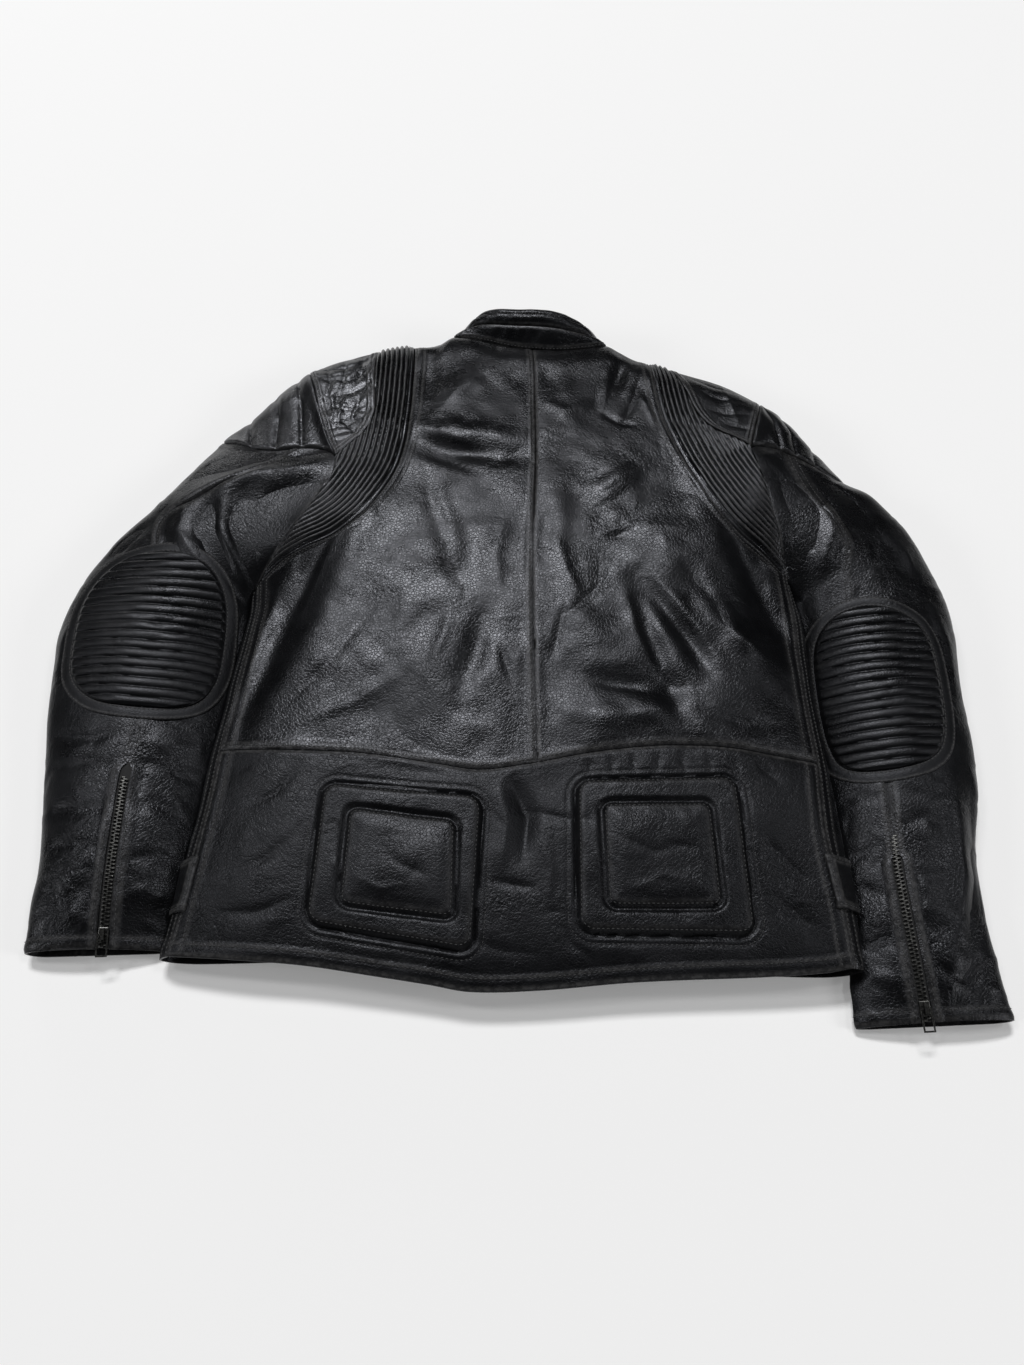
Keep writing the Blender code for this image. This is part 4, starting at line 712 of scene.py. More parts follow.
class Sleeve:
    # The outer surface of one arm below the shoulder pad: u goes round it, v down it.

    def __init__(self, side):
        self.rings = armRings[side]
        self.rows = len(self.rings) + 1
        self.turn = 1.0 if side == "right" else -1.0
        many = spread(161)
        under = onSeam(armUnderRows[side])
        padLow, armLow = line(padSeam(padLowRows[side])), line(armLowRows[side])
        self.upper = np.concatenate([padLow(1 - many), lift(armLow(many))[1:], under[1:2]])
        padUnder = line(padUnderRows[side])(many)
        self.lower = np.concatenate([line(under[1 : cornerRow + 1])(many), padUnder[1:]])
        self.upperShare, self.lowerShare = reach(self.upper), reach(self.lower)
        seam = line(armSeams[side])(spread(401))
        self.seam = [self.upperShare[np.argmin(np.hypot(*(self.upper[:, :2] - seam[0]).T))]]
        share = spread(401)
        for row in self.rings:
            chord = ringPoint(row, share, True)[:, None, :2]
            gap = np.linalg.norm(chord - seam[None], axis=-1).min(axis=1)
            self.seam.append(share[np.argmin(gap)])

    def first(self, u):
        # The sleeve's top edge, where it meets the pad, the strip and the underarm.
        top = u <= 0.5
        s = (1 - np.cos(2 * np.pi * u)) / 2
        parts = []
        for k in range(3):
            high = np.interp(s, self.upperShare, self.upper[:, k])
            low = np.interp(1 - s, self.lowerShare, self.lower[:, k])
            parts.append(np.where(top, high, low))
        return np.stack(parts, axis=-1)

    def at(self, u, v):
        # Points for u round the arm (0 the outer edge, 0.5 the inner) and v from 0 to 1.
        u = np.asarray(u, float) % 1.0
        top = u <= 0.5
        s = (1 - np.cos(2 * np.pi * u)) / 2
        rings = np.stack([self.first(u)] + [ringPoint(row, s, top) for row in self.rings])
        place = np.clip(np.asarray(v, float), 0, 1) * (self.rows - 1)
        row = np.clip(place.astype(int), 0, self.rows - 2)
        t = (place - row)[..., None]

        def pick(k):
            k = np.clip(k, 0, self.rows - 1)
            return np.take_along_axis(rings, k[None, ..., None], axis=0)[0]

        low, high = pick(row), pick(row + 1)
        before, after = (high - pick(row - 1)) / 2, (pick(row + 2) - low) / 2
        before = np.where((row == 0)[..., None], high - low, before)
        after = np.where((row == self.rows - 2)[..., None], high - low, after)
        return bent(low, high, before, after, t)

    def way(self, u, v):
        # Outward directions, by small steps round and down the arm.
        step = 0.004
        around = self.at(u + step, v) - self.at(u - step, v)
        down = self.at(u, np.minimum(v + step, 1)) - self.at(u, np.maximum(v - step, 0))
        return unit(np.cross(around, down)) * self.turn

    def seamU(self, v):
        # Where the back-arm seam runs, as u for each v.
        s = through(spread(self.rows), self.seam, v)
        return np.arccos(1 - 2 * np.clip(s, 0, 1)) / (2 * np.pi)

    def sideStep(self, u, v, distance):
        # How far u changes for a distance across the arm.
        across = np.linalg.norm(self.at(u + 0.005, v) - self.at(u - 0.005, v), axis=-1)
        return distance * 0.01 / np.maximum(across, 1e-6)

    def locate(self, x, y):
        # u and v of plan points on the arm's top side.
        u = np.full(np.shape(x), 0.25)
        v = np.full(np.shape(x), 0.5)
        for _ in range(40):
            here = self.at(u, v)
            du = (self.at(u + 0.002, v) - here)[..., :2] / 0.002
            dv = (self.at(u, v + 0.002) - here)[..., :2] / 0.002
            ex, ey = x - here[..., 0], y - here[..., 1]
            det = du[..., 0] * dv[..., 1] - du[..., 1] * dv[..., 0]
            det = np.where(np.abs(det) < 1e-6, 1e-6, det)
            su = (ex * dv[..., 1] - ey * dv[..., 0]) / det
            sv = (ey * du[..., 0] - ex * du[..., 1]) / det
            u = np.clip(u + np.clip(su, -0.05, 0.05), 0.05, 0.45)
            v = np.clip(v + np.clip(sv, -0.08, 0.08), 0.0, 0.99)
        return u, v


underSeamU = 0.80  # the under-arm seam, which doesn't show


def seamWay(points):
    # Direction of the walls along the armhole and pad seams, shared by the pieces that meet there.
    x, y, z = points[..., 0], points[..., 1], points[..., 2]
    rim = np.interp(y, [508, 640], [18, 27])
    band = np.interp(y, [508, 640], [8, 12])
    up = np.clip((z - rim) / band, -1.0, 1.0)[..., None]
    side = unit(np.stack([x - 8.0, (y - 560.0) * 1.6, np.zeros_like(x)], axis=-1))
    down = np.array([0.0, 0.0, -1.0])
    above = lean(points) * up + side * (1 - up)
    below = down * -up + side * (1 + up)
    return unit(np.where(up > 0, above, below))


def lastLoop(first, last, count, left):
    # The short row where the pad runs out at the arm's edge.
    share = spread(count)[:, None]
    bow = np.sin(np.pi * share) * np.array([-1.0 if left else 1.0, 0.5, 0.0])
    return first + (last - first) * share + bow


def roundedKeys(keys, rows, at):
    span = keys[-1] - keys[0]
    return rounded((keys - keys[0]) / span, rows, (at - keys[0]) / span)


class Paint:
    # a socket that takes + - * and the like, each adding its node
    def __init__(self, maker, socket):
        self.maker, self.socket = maker, socket

    def maths(self, operation, other=None, swap=False):
        values = {0: self} if other is None else ({0: other, 1: self} if swap else {0: self, 1: other})
        return self.maker.node("ShaderNodeMath", {"operation": operation}, values)

    def __add__(self, other):
        return self.maths("ADD", other)

    def __radd__(self, other):
        return self.maths("ADD", other, True)

    def __sub__(self, other):
        return self.maths("SUBTRACT", other)

    def __rsub__(self, other):
        return self.maths("SUBTRACT", other, True)

    def __mul__(self, other):
        return self.maths("MULTIPLY", other)

    def __rmul__(self, other):
        return self.maths("MULTIPLY", other, True)

    def __truediv__(self, other):
        return self.maths("DIVIDE", other)

    def clamped(self):
        return self.maker.node("ShaderNodeMath", {"operation": "ADD", "use_clamp": True}, {0: self, 1: 0.0})

    def ramp(self, low, high):
        return ((self - low) / (high - low)).clamped()


class Maker:
    # makes the nodes of one material
    def __init__(self, name):
        self.material = bpy.data.materials.new(name)
        self.material.use_nodes = True
        self.tree = self.material.node_tree
        self.shader = self.tree.nodes["Principled BSDF"]

    def node(self, kind, settings, values, output=0):
        made = self.tree.nodes.new(kind)
        for key, value in settings.items():
            setattr(made, key, value)
        for key, value in values.items():
            if isinstance(value, Paint):
                self.tree.links.new(value.socket, made.inputs[key])
            elif value is not None:
                made.inputs[key].default_value = value
        return Paint(self, made.outputs[output])

    def place(self):
        return self.node("ShaderNodeTexCoord", {}, {}, "Object")

    def noise(self, size, detail=2.0, rough=0.5, where=None):
        # every size is in millimetres
        where = where or self.place()
        values = {"Vector": where, "Scale": 1000.0 / size, "Detail": detail, "Roughness": rough}
        return self.node("ShaderNodeTexNoise", {}, values)

    def cells(self, size, feature="F1", where=None):
        values = {"Vector": where or self.place(), "Scale": 1000.0 / size}
        return self.node("ShaderNodeTexVoronoi", {"feature": feature}, values, "Distance")

    def vector(self, operation, values):
        return self.node("ShaderNodeVectorMath", {"operation": operation}, values)

    def warped(self, size, amount, detail=2.0):
        # object place pushed about by noise, in millimetres
        values = {"Vector": self.place(), "Scale": 1000.0 / size, "Detail": detail}
        shift = self.node("ShaderNodeTexNoise", {}, values, "Color")
        centred = self.vector("SUBTRACT", {0: shift, 1: (0.5, 0.5, 0.5)})
        scaled = self.vector("SCALE", {0: centred, "Scale": amount * 2 * mm})
        return self.vector("ADD", {0: self.place(), 1: scaled})

    def bands(self, direction, scale, distortion):
        values = {"Vector": self.place(), "Scale": scale, "Distortion": distortion}
        return self.node("ShaderNodeTexWave", {"bands_direction": direction}, values)

    def mark(self, name):
        # the piece's own attribute of that name
        return self.node("ShaderNodeAttribute", {"attribute_name": name}, {}, "Fac")

    def mixed(self, share, low, high):
        # inputs 6 and 7 and output 2 are the Mix node's colours
        low, high = (colour if isinstance(colour, Paint) else (*colour, 1.0) for colour in (low, high))
        return self.node("ShaderNodeMix", {"data_type": "RGBA"}, {"Factor": share, 6: low, 7: high}, 2)

    def bump(self, height, strength, distance, after=None):
        # distance in millimetres
        values = {"Strength": strength, "Distance": distance * mm, "Height": height, "Normal": after}
        return self.node("ShaderNodeBump", {}, values)

    def finish(self, **sockets):
        for key, value in sockets.items():
            key = key.replace("_", " ")
            if isinstance(value, Paint):
                self.tree.links.new(value.socket, self.shader.inputs[key])
            else:
                self.shader.inputs[key].default_value = value
        return self.material


# grain and crinkle: their sizes in millimetres
hide = {
    "black": (0.0022, 0.0023, 0.0026), "grey": (0.0056, 0.0058, 0.0066), "worn": (0.062, 0.061, 0.061),
    "grain": 1.5, "crinkle": 11.0, "shine": 0.22, "tint": (0.90, 0.92, 1.0),
}


def leatherPaint(name, gloss=0.40, crinkles=0.5, grain=1.0, shine=1.0):
    # black full-grain hide: fine pebbled grain, long crinkles, rubbed edges
    m = Maker(name)
    wear = m.mark("wear")
    pushed = m.warped(7.0, 1.6)
    pebbles = m.cells(hide["grain"], where=pushed)
    valleys = m.cells(hide["grain"] * 1.7, "DISTANCE_TO_EDGE", where=pushed).ramp(0.0, 0.16)
    wide = m.warped(26.0, 9.0, 3.0)
    creases = m.cells(hide["crinkle"] * 0.45, "DISTANCE_TO_EDGE", where=wide).ramp(0.0, 0.22)
    broad = (m.noise(hide["crinkle"] * 1.5, 3.0, 0.62, where=wide) - 0.5).maths("ABSOLUTE").ramp(0.0, 0.05)
    patches = m.noise(60.0, 3.0, 0.55).ramp(0.40, 0.66)
    fine = m.noise(0.9, 2.0, 0.6)
    strength = m.noise(40.0, 2.0, 0.5).ramp(0.42, 0.72)
    tone = (m.noise(18.0, 4.0, 0.6).ramp(0.35, 0.7) * 0.5 + patches * 0.4).clamped()
    rubbed = (wear * (0.35 + 0.65 * m.noise(4.0, 3.0, 0.6).ramp(0.42, 0.62))).clamped()
    colour = m.mixed(rubbed * 0.75, m.mixed(tone, hide["black"], hide["grey"]), hide["worn"])
    rough = gloss + 0.10 * patches + 0.06 * m.noise(5.0, 2.0, 0.5) + 0.10 * rubbed + 0.05 * (1 - valleys)
    height = valleys * 0.55 + (1 - pebbles) * 0.30 + fine * 0.25
    normal = m.bump(height, 0.60 * grain, 0.12)
    lines = (creases * 0.35 + broad * 0.65) * strength + 0.7 * m.noise(5.0, 3.0, 0.6)
    normal = m.bump(lines, crinkles, 0.42, normal)
    return m.finish(
        Base_Color=colour, Roughness=rough.clamped(), Normal=normal, Metallic=0.0, IOR=1.5,
        Specular_IOR_Level=hide["shine"] * shine, Specular_Tint=(*hide["tint"], 1.0),
    )


def plainPaint(name, low, high, rough, bumpSize, bumpHigh, metallic=0.0):
    m = Maker(name)
    spots = m.noise(bumpSize, 3.0, 0.6)
    colour = m.mixed(spots.ramp(0.35, 0.65), low, high)
    return m.finish(
        Base_Color=colour, Roughness=(rough + 0.12 * m.noise(bumpSize * 3, 2.0, 0.5)).clamped(),
        Metallic=metallic, Normal=m.bump(spots, 0.5, bumpHigh),
    )


def weavePaint(name):
    # zip tape: a close ribbed weave
    m = Maker(name)
    across = m.bands("Y", 560.0, 0.6)
    bars = m.bands("X", 400.0, 0.4) * 0.5 + across
    colour = m.mixed((bars * 0.6).clamped(), (0.006, 0.006, 0.0065), (0.022, 0.022, 0.023))
    return m.finish(Base_Color=colour, Roughness=0.85, Normal=m.bump(bars, 0.6, 0.15))


# leather: gloss as roughness, depth of crinkles, depth of grain, share of the hide's shine
paints = {
    "body": leatherPaint("leatherBody", 0.20, 0.50, 1.5),
    "kidney": leatherPaint("leatherKidney", 0.27, 0.60, 1.5, 0.8),
    "sleeve": leatherPaint("leatherSleeve", 0.22, 0.80, 1.5),
    "crinkled": leatherPaint("leatherCrinkled", 0.24, 0.7, 1.4, 2.2),
    "strip": leatherPaint("leatherStrip", 0.21, 0.30, 0.9, 1.7),
    "ribbed": leatherPaint("leatherRibbed", 0.24, 0.30, 0.9, 0.75),
    "trim": leatherPaint("leatherTrim", 0.34, 0.6, 1.0),
    "thread": plainPaint("blackThread", (0.016, 0.016, 0.017), (0.045, 0.045, 0.047), 0.5, 0.6, 0.08),
    "tape": weavePaint("zipTapeWeave"),
    "metal": plainPaint("gunmetal", (0.03, 0.03, 0.03), (0.11, 0.11, 0.105), 0.30, 1.6, 0.03, 1.0),
}
print("materials made:", len(paints))


# Creases of the top layer that are too fine for the solids.
# Columns: x, y at start, middle and end; half width; height.
backCreases = [
    (-88, 668, -52, 652, -8, 636, 7, 1.6), (-92, 640, -62, 628, -30, 612, 6, -1.6),
    (-20, 620, 0, 634, 18, 650, 6, -1.2), (-72, 600, -66, 572, -56, 540, 5, 1.5),
    (-10, 432, -6, 416, 0, 398, 4, -1.6), (-52, 470, -58, 440, -70, 405, 6, 1.3),
    (-150, 560, -172, 500, -196, 430, 9, 2.6), (-206, 500, -216, 440, -224, 380, 7, 2.2),
    (-120, 470, -150, 420, -190, 372, 10, -1.6), (-100, 400, -130, 380, -170, 362, 7, 1.2),
    (128, 742, 118, 700, 104, 668, 5, -1.6), (96, 735, 90, 706, 84, 680, 5, 1.5),
    (120, 716, 132, 692, 138, 664, 5, 1.4), (84, 690, 100, 676, 118, 670, 4, -1.5),
    (66, 572, 92, 588, 118, 612, 4, 0.8), (78, 546, 95, 549, 112, 556, 3, 1.0),
    (124, 500, 154, 452, 176, 414, 7, 2.4),
    (98, 488, 108, 440, 128, 384, 7, 2.2), (176, 452, 196, 436, 214, 420, 8, 2.0),
    (186, 478, 206, 462, 222, 440, 6, -1.8), (45, 458, 62, 474, 82, 492, 4, -1.4),
    (46, 472, 40, 446, 34, 418, 4, -1.3), (60, 402, 92, 392, 130, 384, 7, -1.2),
    (150, 372, 180, 362, 212, 356, 6, -1.4), (40, 540, 48, 506, 60, 476, 6, 1.2),
    (150, 520, 176, 470, 190, 420, 8, -1.8), (30, 700, 52, 690, 74, 694, 8, 1.0),
    (-30, 730, -52, 716, -70, 690, 8, 1.1), (-6, 560, -14, 520, -10, 486, 7, 1.0),
]
kidneyCreases = [
    (0, 310, 12, 280, 8, 246, 4, -1.6), (-10, 306, -4, 276, -8, 240, 5, 1.4),
    (10, 286, 34, 280, 64, 275, 4, -1.2), (-16, 230, 0, 227, 16, 224, 4, -1.3),
    (60, 330, 62, 322, 60, 314, 3, -1.0), (78, 333, 80, 324, 79, 316, 3, -1.1),
    (96, 335, 97, 326, 98, 318, 3, -1.1), (116, 335, 117, 326, 115, 317, 3, -1.1),
    (136, 336, 136, 327, 138, 318, 3, -1.1), (156, 335, 158, 326, 157, 317, 3, -1.0),
    (176, 334, 178, 325, 180, 316, 3, -1.0), (194, 332, 200, 320, 214, 306, 4, -1.3),
    (-170, 322, -186, 300, -206, 290, 5, -1.2), (-172, 262, -190, 246, -214, 236, 5, -1.1),
    (-166, 216, -190, 206, -222, 206, 5, -1.2), (196, 262, 210, 240, 226, 226, 5, -1.2),
    (190, 222, 206, 206, 226, 196, 5, -1.1), (24, 262, 30, 240, 28, 214, 4, 1.1),
    (-30, 186, -6, 178, 20, 176, 5, -1.0), (36, 200, 44, 182, 60, 172, 4, -0.9),
    (-100, 256, -84, 240, -64, 232, 4, -0.8), (84, 262, 108, 250, 134, 256, 4, -0.8),
    (-120, 232, -98, 222, -76, 226, 4, 0.7), (90, 222, 114, 232, 140, 226, 4, 0.7),
]
patchCreases = {
    "left": [
        (-138, 762, -156, 748, -182, 744, 3.2, -1.5), (-142, 742, -160, 728, -186, 730, 3.0, -1.5),
        (-138, 726, -156, 712, -178, 708, 3.2, -1.5), (-150, 766, -148, 740, -158, 716, 3.0, -1.4),
        (-168, 762, -164, 738, -170, 700, 3.2, -1.5), (-184, 752, -178, 724, -182, 700, 3.0, -1.2),
        (-138, 700, -152, 690, -172, 694, 3.0, -1.5), (-142, 682, -156, 676, -174, 676, 3.0, -1.4),
        (-150, 664, -160, 662, -170, 658, 2.6, -1.1), (-146, 716, -150, 694, -158, 668, 3.0, -1.3),
        (-160, 706, -166, 684, -166, 660, 3.0, 1.3), (-176, 716, -172, 690, -174, 668, 2.8, 1.2),
    ],
    "right": [
        (176, 738, 196, 724, 214, 716, 4, -1.0), (182, 716, 200, 704, 224, 700, 4, -1.0),
        (190, 690, 206, 684, 230, 684, 3.5, -1.0), (200, 672, 214, 668, 228, 664, 3.2, -0.9),
        (206, 730, 210, 704, 216, 672, 4, 0.9),
    ],
}
sleeveCreases = {
    "left": [
        (-176, 620, -236, 612, -300, 588, 15, 9.0), (-188, 592, -214, 574, -232, 534, 16, -11.0),
        (-246, 596, -252, 560, -232, 508, 7, -4.6), (-262, 596, -262, 552, -238, 506, 6, 5.4),
        (-278, 592, -278, 552, -252, 508, 8, -5.0), (-228, 590, -238, 552, -226, 520, 5, 3.6),
        (-300, 584, -302, 552, -276, 516, 9, 3.6), (-196, 640, -250, 636, -300, 616, 14, -3.4),
        (-178, 632, -200, 624, -226, 622, 5, 2.2),
        (-240, 480, -246, 450, -248, 420, 5, -1.8), (-300, 640, -326, 612, -350, 580, 10, -2.4),
        (-330, 566, -350, 548, -372, 520, 7, -1.6), (-380, 480, -388, 440, -386, 400, 5, 1.4),
        (-258, 372, -276, 366, -300, 370, 4, -1.6), (-262, 350, -284, 346, -304, 350, 4, 1.2),
        (-256, 318, -276, 326, -300, 330, 4, -1.4), (-262, 286, -282, 296, -300, 294, 4, -1.2),
        (-260, 248, -276, 256, -296, 250, 4, -1.4), (-264, 222, -280, 228, -298, 222, 4, 1.1),
        (-320, 356, -342, 348, -376, 352, 5, -1.6), (-318, 322, -340, 330, -372, 324, 5, -1.3),
        (-320, 292, -344, 286, -370, 292, 5, -1.5), (-318, 256, -338, 262, -364, 256, 5, -1.4),
        (-322, 226, -340, 220, -362, 226, 5, -1.6), (-320, 204, -342, 208, -362, 200, 4, 1.1),
    ],
    "right": [
        (353, 312, 346, 236, 314, 140, 9, 3.6), (366, 300, 358, 236, 336, 150, 7, -2.8),
        (250, 606, 268, 572, 262, 526, 12, -4.6), (290, 600, 292, 556, 274, 508, 9, 2.6),
        (316, 626, 350, 584, 366, 530, 18, 5.5), (276, 620, 296, 590, 312, 548, 13, -4.0),
        (300, 606, 318, 580, 330, 548, 7, -1.8), (330, 560, 350, 532, 362, 500, 8, 1.6),
        (258, 500, 262, 470, 260, 440, 5, -1.6), (366, 480, 376, 440, 374, 400, 5, 1.6),
        (306, 306, 326, 300, 346, 306, 4, -1.3), (304, 276, 322, 282, 340, 276, 4, -1.3),
        (304, 240, 318, 234, 336, 240, 4, -1.4), (300, 206, 314, 212, 330, 206, 4, 1.1),
        (262, 300, 276, 306, 292, 300, 4, -1.3), (258, 262, 272, 256, 288, 262, 4, -1.2),
        (258, 224, 270, 230, 286, 222, 4, -1.4), (256, 190, 270, 184, 286, 190, 4, -1.3),
        (256, 158, 270, 164, 290, 158, 4, 1.0), (310, 170, 330, 160, 350, 168, 4, -1.4),
    ],
}
wrinkleSharp = 0.6
# Small wrinkles of each part: how many, seed, typical half length, greatest height.
scatterFacts = {
    "back": (60, 11, 16, 0.55), "kidney": (70, 12, 11, 0.45),
    "sleeve": (170, 13, 12, 1.0), "front": (60, 14, 14, 0.6),
}


def scattered(kind, box):
    # seeded wrinkles in a box of the plan, given as x from, x to, y from, y to
    count, seed, size, height = scatterFacts[kind]
    pick = np.random.default_rng(seed)
    rows = []
    for _ in range(count):
        x, y = pick.uniform(box[0], box[1]), pick.uniform(box[2], box[3])
        turn, length = pick.uniform(0, math.pi), pick.uniform(0.5, 1.4) * size
        bend = turn + pick.uniform(-0.7, 0.7)
        mx, my = x + length * math.cos(turn), y + length * math.sin(turn)
        ex, ey = mx + length * math.cos(bend), my + length * math.sin(bend)
        width, sign = pick.uniform(2.0, 3.6), pick.choice((-1, 1))
        rows.append((x, y, mx, my, ex, ey, width, sign * pick.uniform(0.3, 1) * height))
    return rows


def softSwell(x, y, high=1.0):
    # the loose, uneven lie of worn hide
    return high * (
        0.75 * softNoise(x, y, 62, 3)
        + 0.45 * turnedNoise(x, y, 30, 4, 25, 1.6)
        + 0.22 * softNoise(x, y, 15, 5)
    )


def ribProfile(phase, power=0.5):
    # rounded ribs, one for each whole step of phase, flatter the lower the power
    return np.abs(np.sin(np.pi * phase)) ** power


def nearestShare(rows, point):
    # how far along the rows themselves a point lies, from 0 to 1
    rows = np.array(rows, float)
    return float(reach(rows)[np.argmin(np.hypot(rows[:, 0] - point[0], rows[:, 1] - point[1]))])


def seamFraction(rows, point):
    # the same on the smooth line through them
    rows = np.array(rows, float)
    share = spread(801)
    found = line(rows)(share)
    return float(share[np.argmin(np.hypot(found[:, 0] - point[0], found[:, 1] - point[1]))])


def sideShare(side):
    # where the kidney panel's top seam meets the side seam
    return seamFraction(seamRows[side], kidneyTop[side][0 if side == "left" else -1])


def leastDistance(sides):
    # distance of every point of a sheet from the nearest of its sides
    return np.minimum.reduce(list(sides.values()))


# rows and columns count the points along each edge; sharp is how cusped the creases are
backFacts = {
    "shoulderColumns": 34, "neckColumns": 72, "stripRows": 112, "seamRows": 90, "swell": 1.9, "sharp": 0.55,
    "wrinkles": (-230, 240, 340, 760),
}


def makeHalfBack(side):
    facts = backFacts
    left = side == "left"
    strip, shoulder, kidney = stripBody[side], shoulderSeams[side], line(kidneyTop[side])
    begin = nearestShare(shoulder, strip[0])
    first, last = neckShare(backNeck[0 if left else 2]), neckShare(backNeck[1])
    shoulderPart = line(shoulder)(spread(facts["shoulderColumns"], begin, 1.0))
    neckPart = neckPoints(spread(facts["neckColumns"], first, last))[1:, :2]
    top = np.concatenate([shoulderPart, neckPart])
    sideSeam = line(seamRows[side])(spread(facts["seamRows"], 1.0, sideShare(side)))
    outer = np.concatenate([line(strip)(spread(facts["stripRows"])), sideSeam[1:]])
    centre = line(centreBack)(spread(len(outer)))
    low = kidney(spread(len(top))) if left else kidney(spread(len(top)))[::-1]
    base = lift(fill(top, low, outer, centre))
    way = lean(base)
    x, y = base[..., 0], base[..., 1]
    sides = sideDistances(base)
    centreKind = "topstitched" if left else "plain"
    kinds = {"low": "plain", "high": "topstitched", "start": "double", "end": centreKind}
    rise = softSwell(x, y, facts["swell"]) + creaseHeight(x, y, backCreases, facts["sharp"])
    rise += creaseHeight(x, y, scattered("back", facts["wrinkles"]), wrinkleSharp)
    rise *= smoothStep(leastDistance(sides) / 14 + 0.15)
    rise += seamRise(sides, kinds)
    skin = clothPiece("back_%s_hide" % side, base, way, rise, paints["body"],
                      ["back_" + side], seamWear(sides, kinds))
    sewSides(skin, way, sides, kinds)


kidneyPads = {
    # corners of the outer and the inner quilting of each pad: x, y
    "outer": [
        ((-149, 309), (-22, 297), (-28, 176), (-154, 197)), ((50, 311), (178, 314), (181, 188), (48, 190)),
    ],
    "inner": [
        ((-128, 288), (-42, 277), (-42, 199), (-130, 210)), ((69, 291), (156, 292), (158, 208), (70, 208)),
    ],
    "roundness": 13.0, "innerRoundness": 0.7, "rise": 4.2, "groove": 3.0, "grooveWidth": 1.9,
    "stitchOut": 6.5, "stitchIn": 3.4, "leftColumns": 150, "rightColumns": 140, "rows": 124,
    "swell": 1.2, "sharp": 0.6, "wrinkles": (-230, 236, 160, 330),
}


def quadDistance(x, y, corners, roundness):
    # distance inside (+) or outside (-) a four-sided shape with rounded corners
    corners = np.array(corners, float)
    middle = corners.mean(axis=0)
    shrunk = []
    for k in range(4):
        a, b = corners[k], corners[(k + 1) % 4]
        edge = (b - a) / np.linalg.norm(b - a)
        normal = np.array([edge[1], -edge[0]])
        if ((middle - a) * normal).sum() < 0:
            normal = -normal
        shrunk.append((x - a[0]) * normal[0] + (y - a[1]) * normal[1] - roundness)
    shrunk = np.array(shrunk)
    inside = shrunk.min(axis=0)
    short = np.minimum(shrunk, 0)
    outside = -np.sqrt((np.sort(short, axis=0)[:2] ** 2).sum(axis=0))
    return np.where(inside >= 0, inside, outside) + roundness


def quadPath(corners, roundness, inset, count=260):
    # the rounded quilting line itself, for its stitches
    corners = np.array(corners, float)
    middle = corners.mean(axis=0)
    turn = np.linspace(0, 2 * np.pi, count)
    far = []
    for angle in turn:
        steps = np.linspace(5, 120, 460)
        px, py = middle[0] + steps * math.cos(angle), middle[1] + steps * math.sin(angle)
        d = quadDistance(px, py, corners, roundness)
        far.append(np.interp(-inset, -d, steps))
    far = np.array(far)
    return np.stack([middle[0] + far * np.cos(turn), middle[1] + far * np.sin(turn)], -1)


def kidneyRelief(x, y):
    # two padded squares, each quilted in a ring and a middle
    facts = kidneyPads
    total = np.zeros_like(x)
    for outer, inner in zip(facts["outer"], facts["inner"]):
        dOut = quadDistance(x, y, outer, facts["roundness"])
        dIn = quadDistance(x, y, inner, facts["roundness"] * facts["innerRoundness"])
        ring = np.clip(dOut / 7.0, 0, 1)
        ring = np.sqrt(np.clip(1 - (1 - ring) ** 2, 0, 1)) * facts["rise"]
        total += ring
        total -= (facts["rise"] * 0.62) * np.exp(-((dIn / 2.2) ** 2))
        total += 1.3 * smoothStep(dIn / 16.0) + 0.5 * smoothStep(dIn / 40.0)
        total -= facts["groove"] * 0.6 * np.exp(-((dOut / facts["grooveWidth"]) ** 2))
        total -= 0.5 * np.exp(-(((dOut + facts["stitchOut"]) / 1.2) ** 2))
        pad = smoothStep(dOut / 8.0)
        near = np.exp(-((dIn / 7.0) ** 2)) + np.exp(-((dOut / 6.0) ** 2))
        total += pad * (0.45 * softNoise(x, y, 9, 21) * near + 0.5 * softNoise(x, y, 26, 22))
    return total


def kidneySwell(x, y):
    return softSwell(x, y, kidneyPads["swell"]) + creaseHeight(x, y, kidneyCreases, kidneyPads["sharp"])


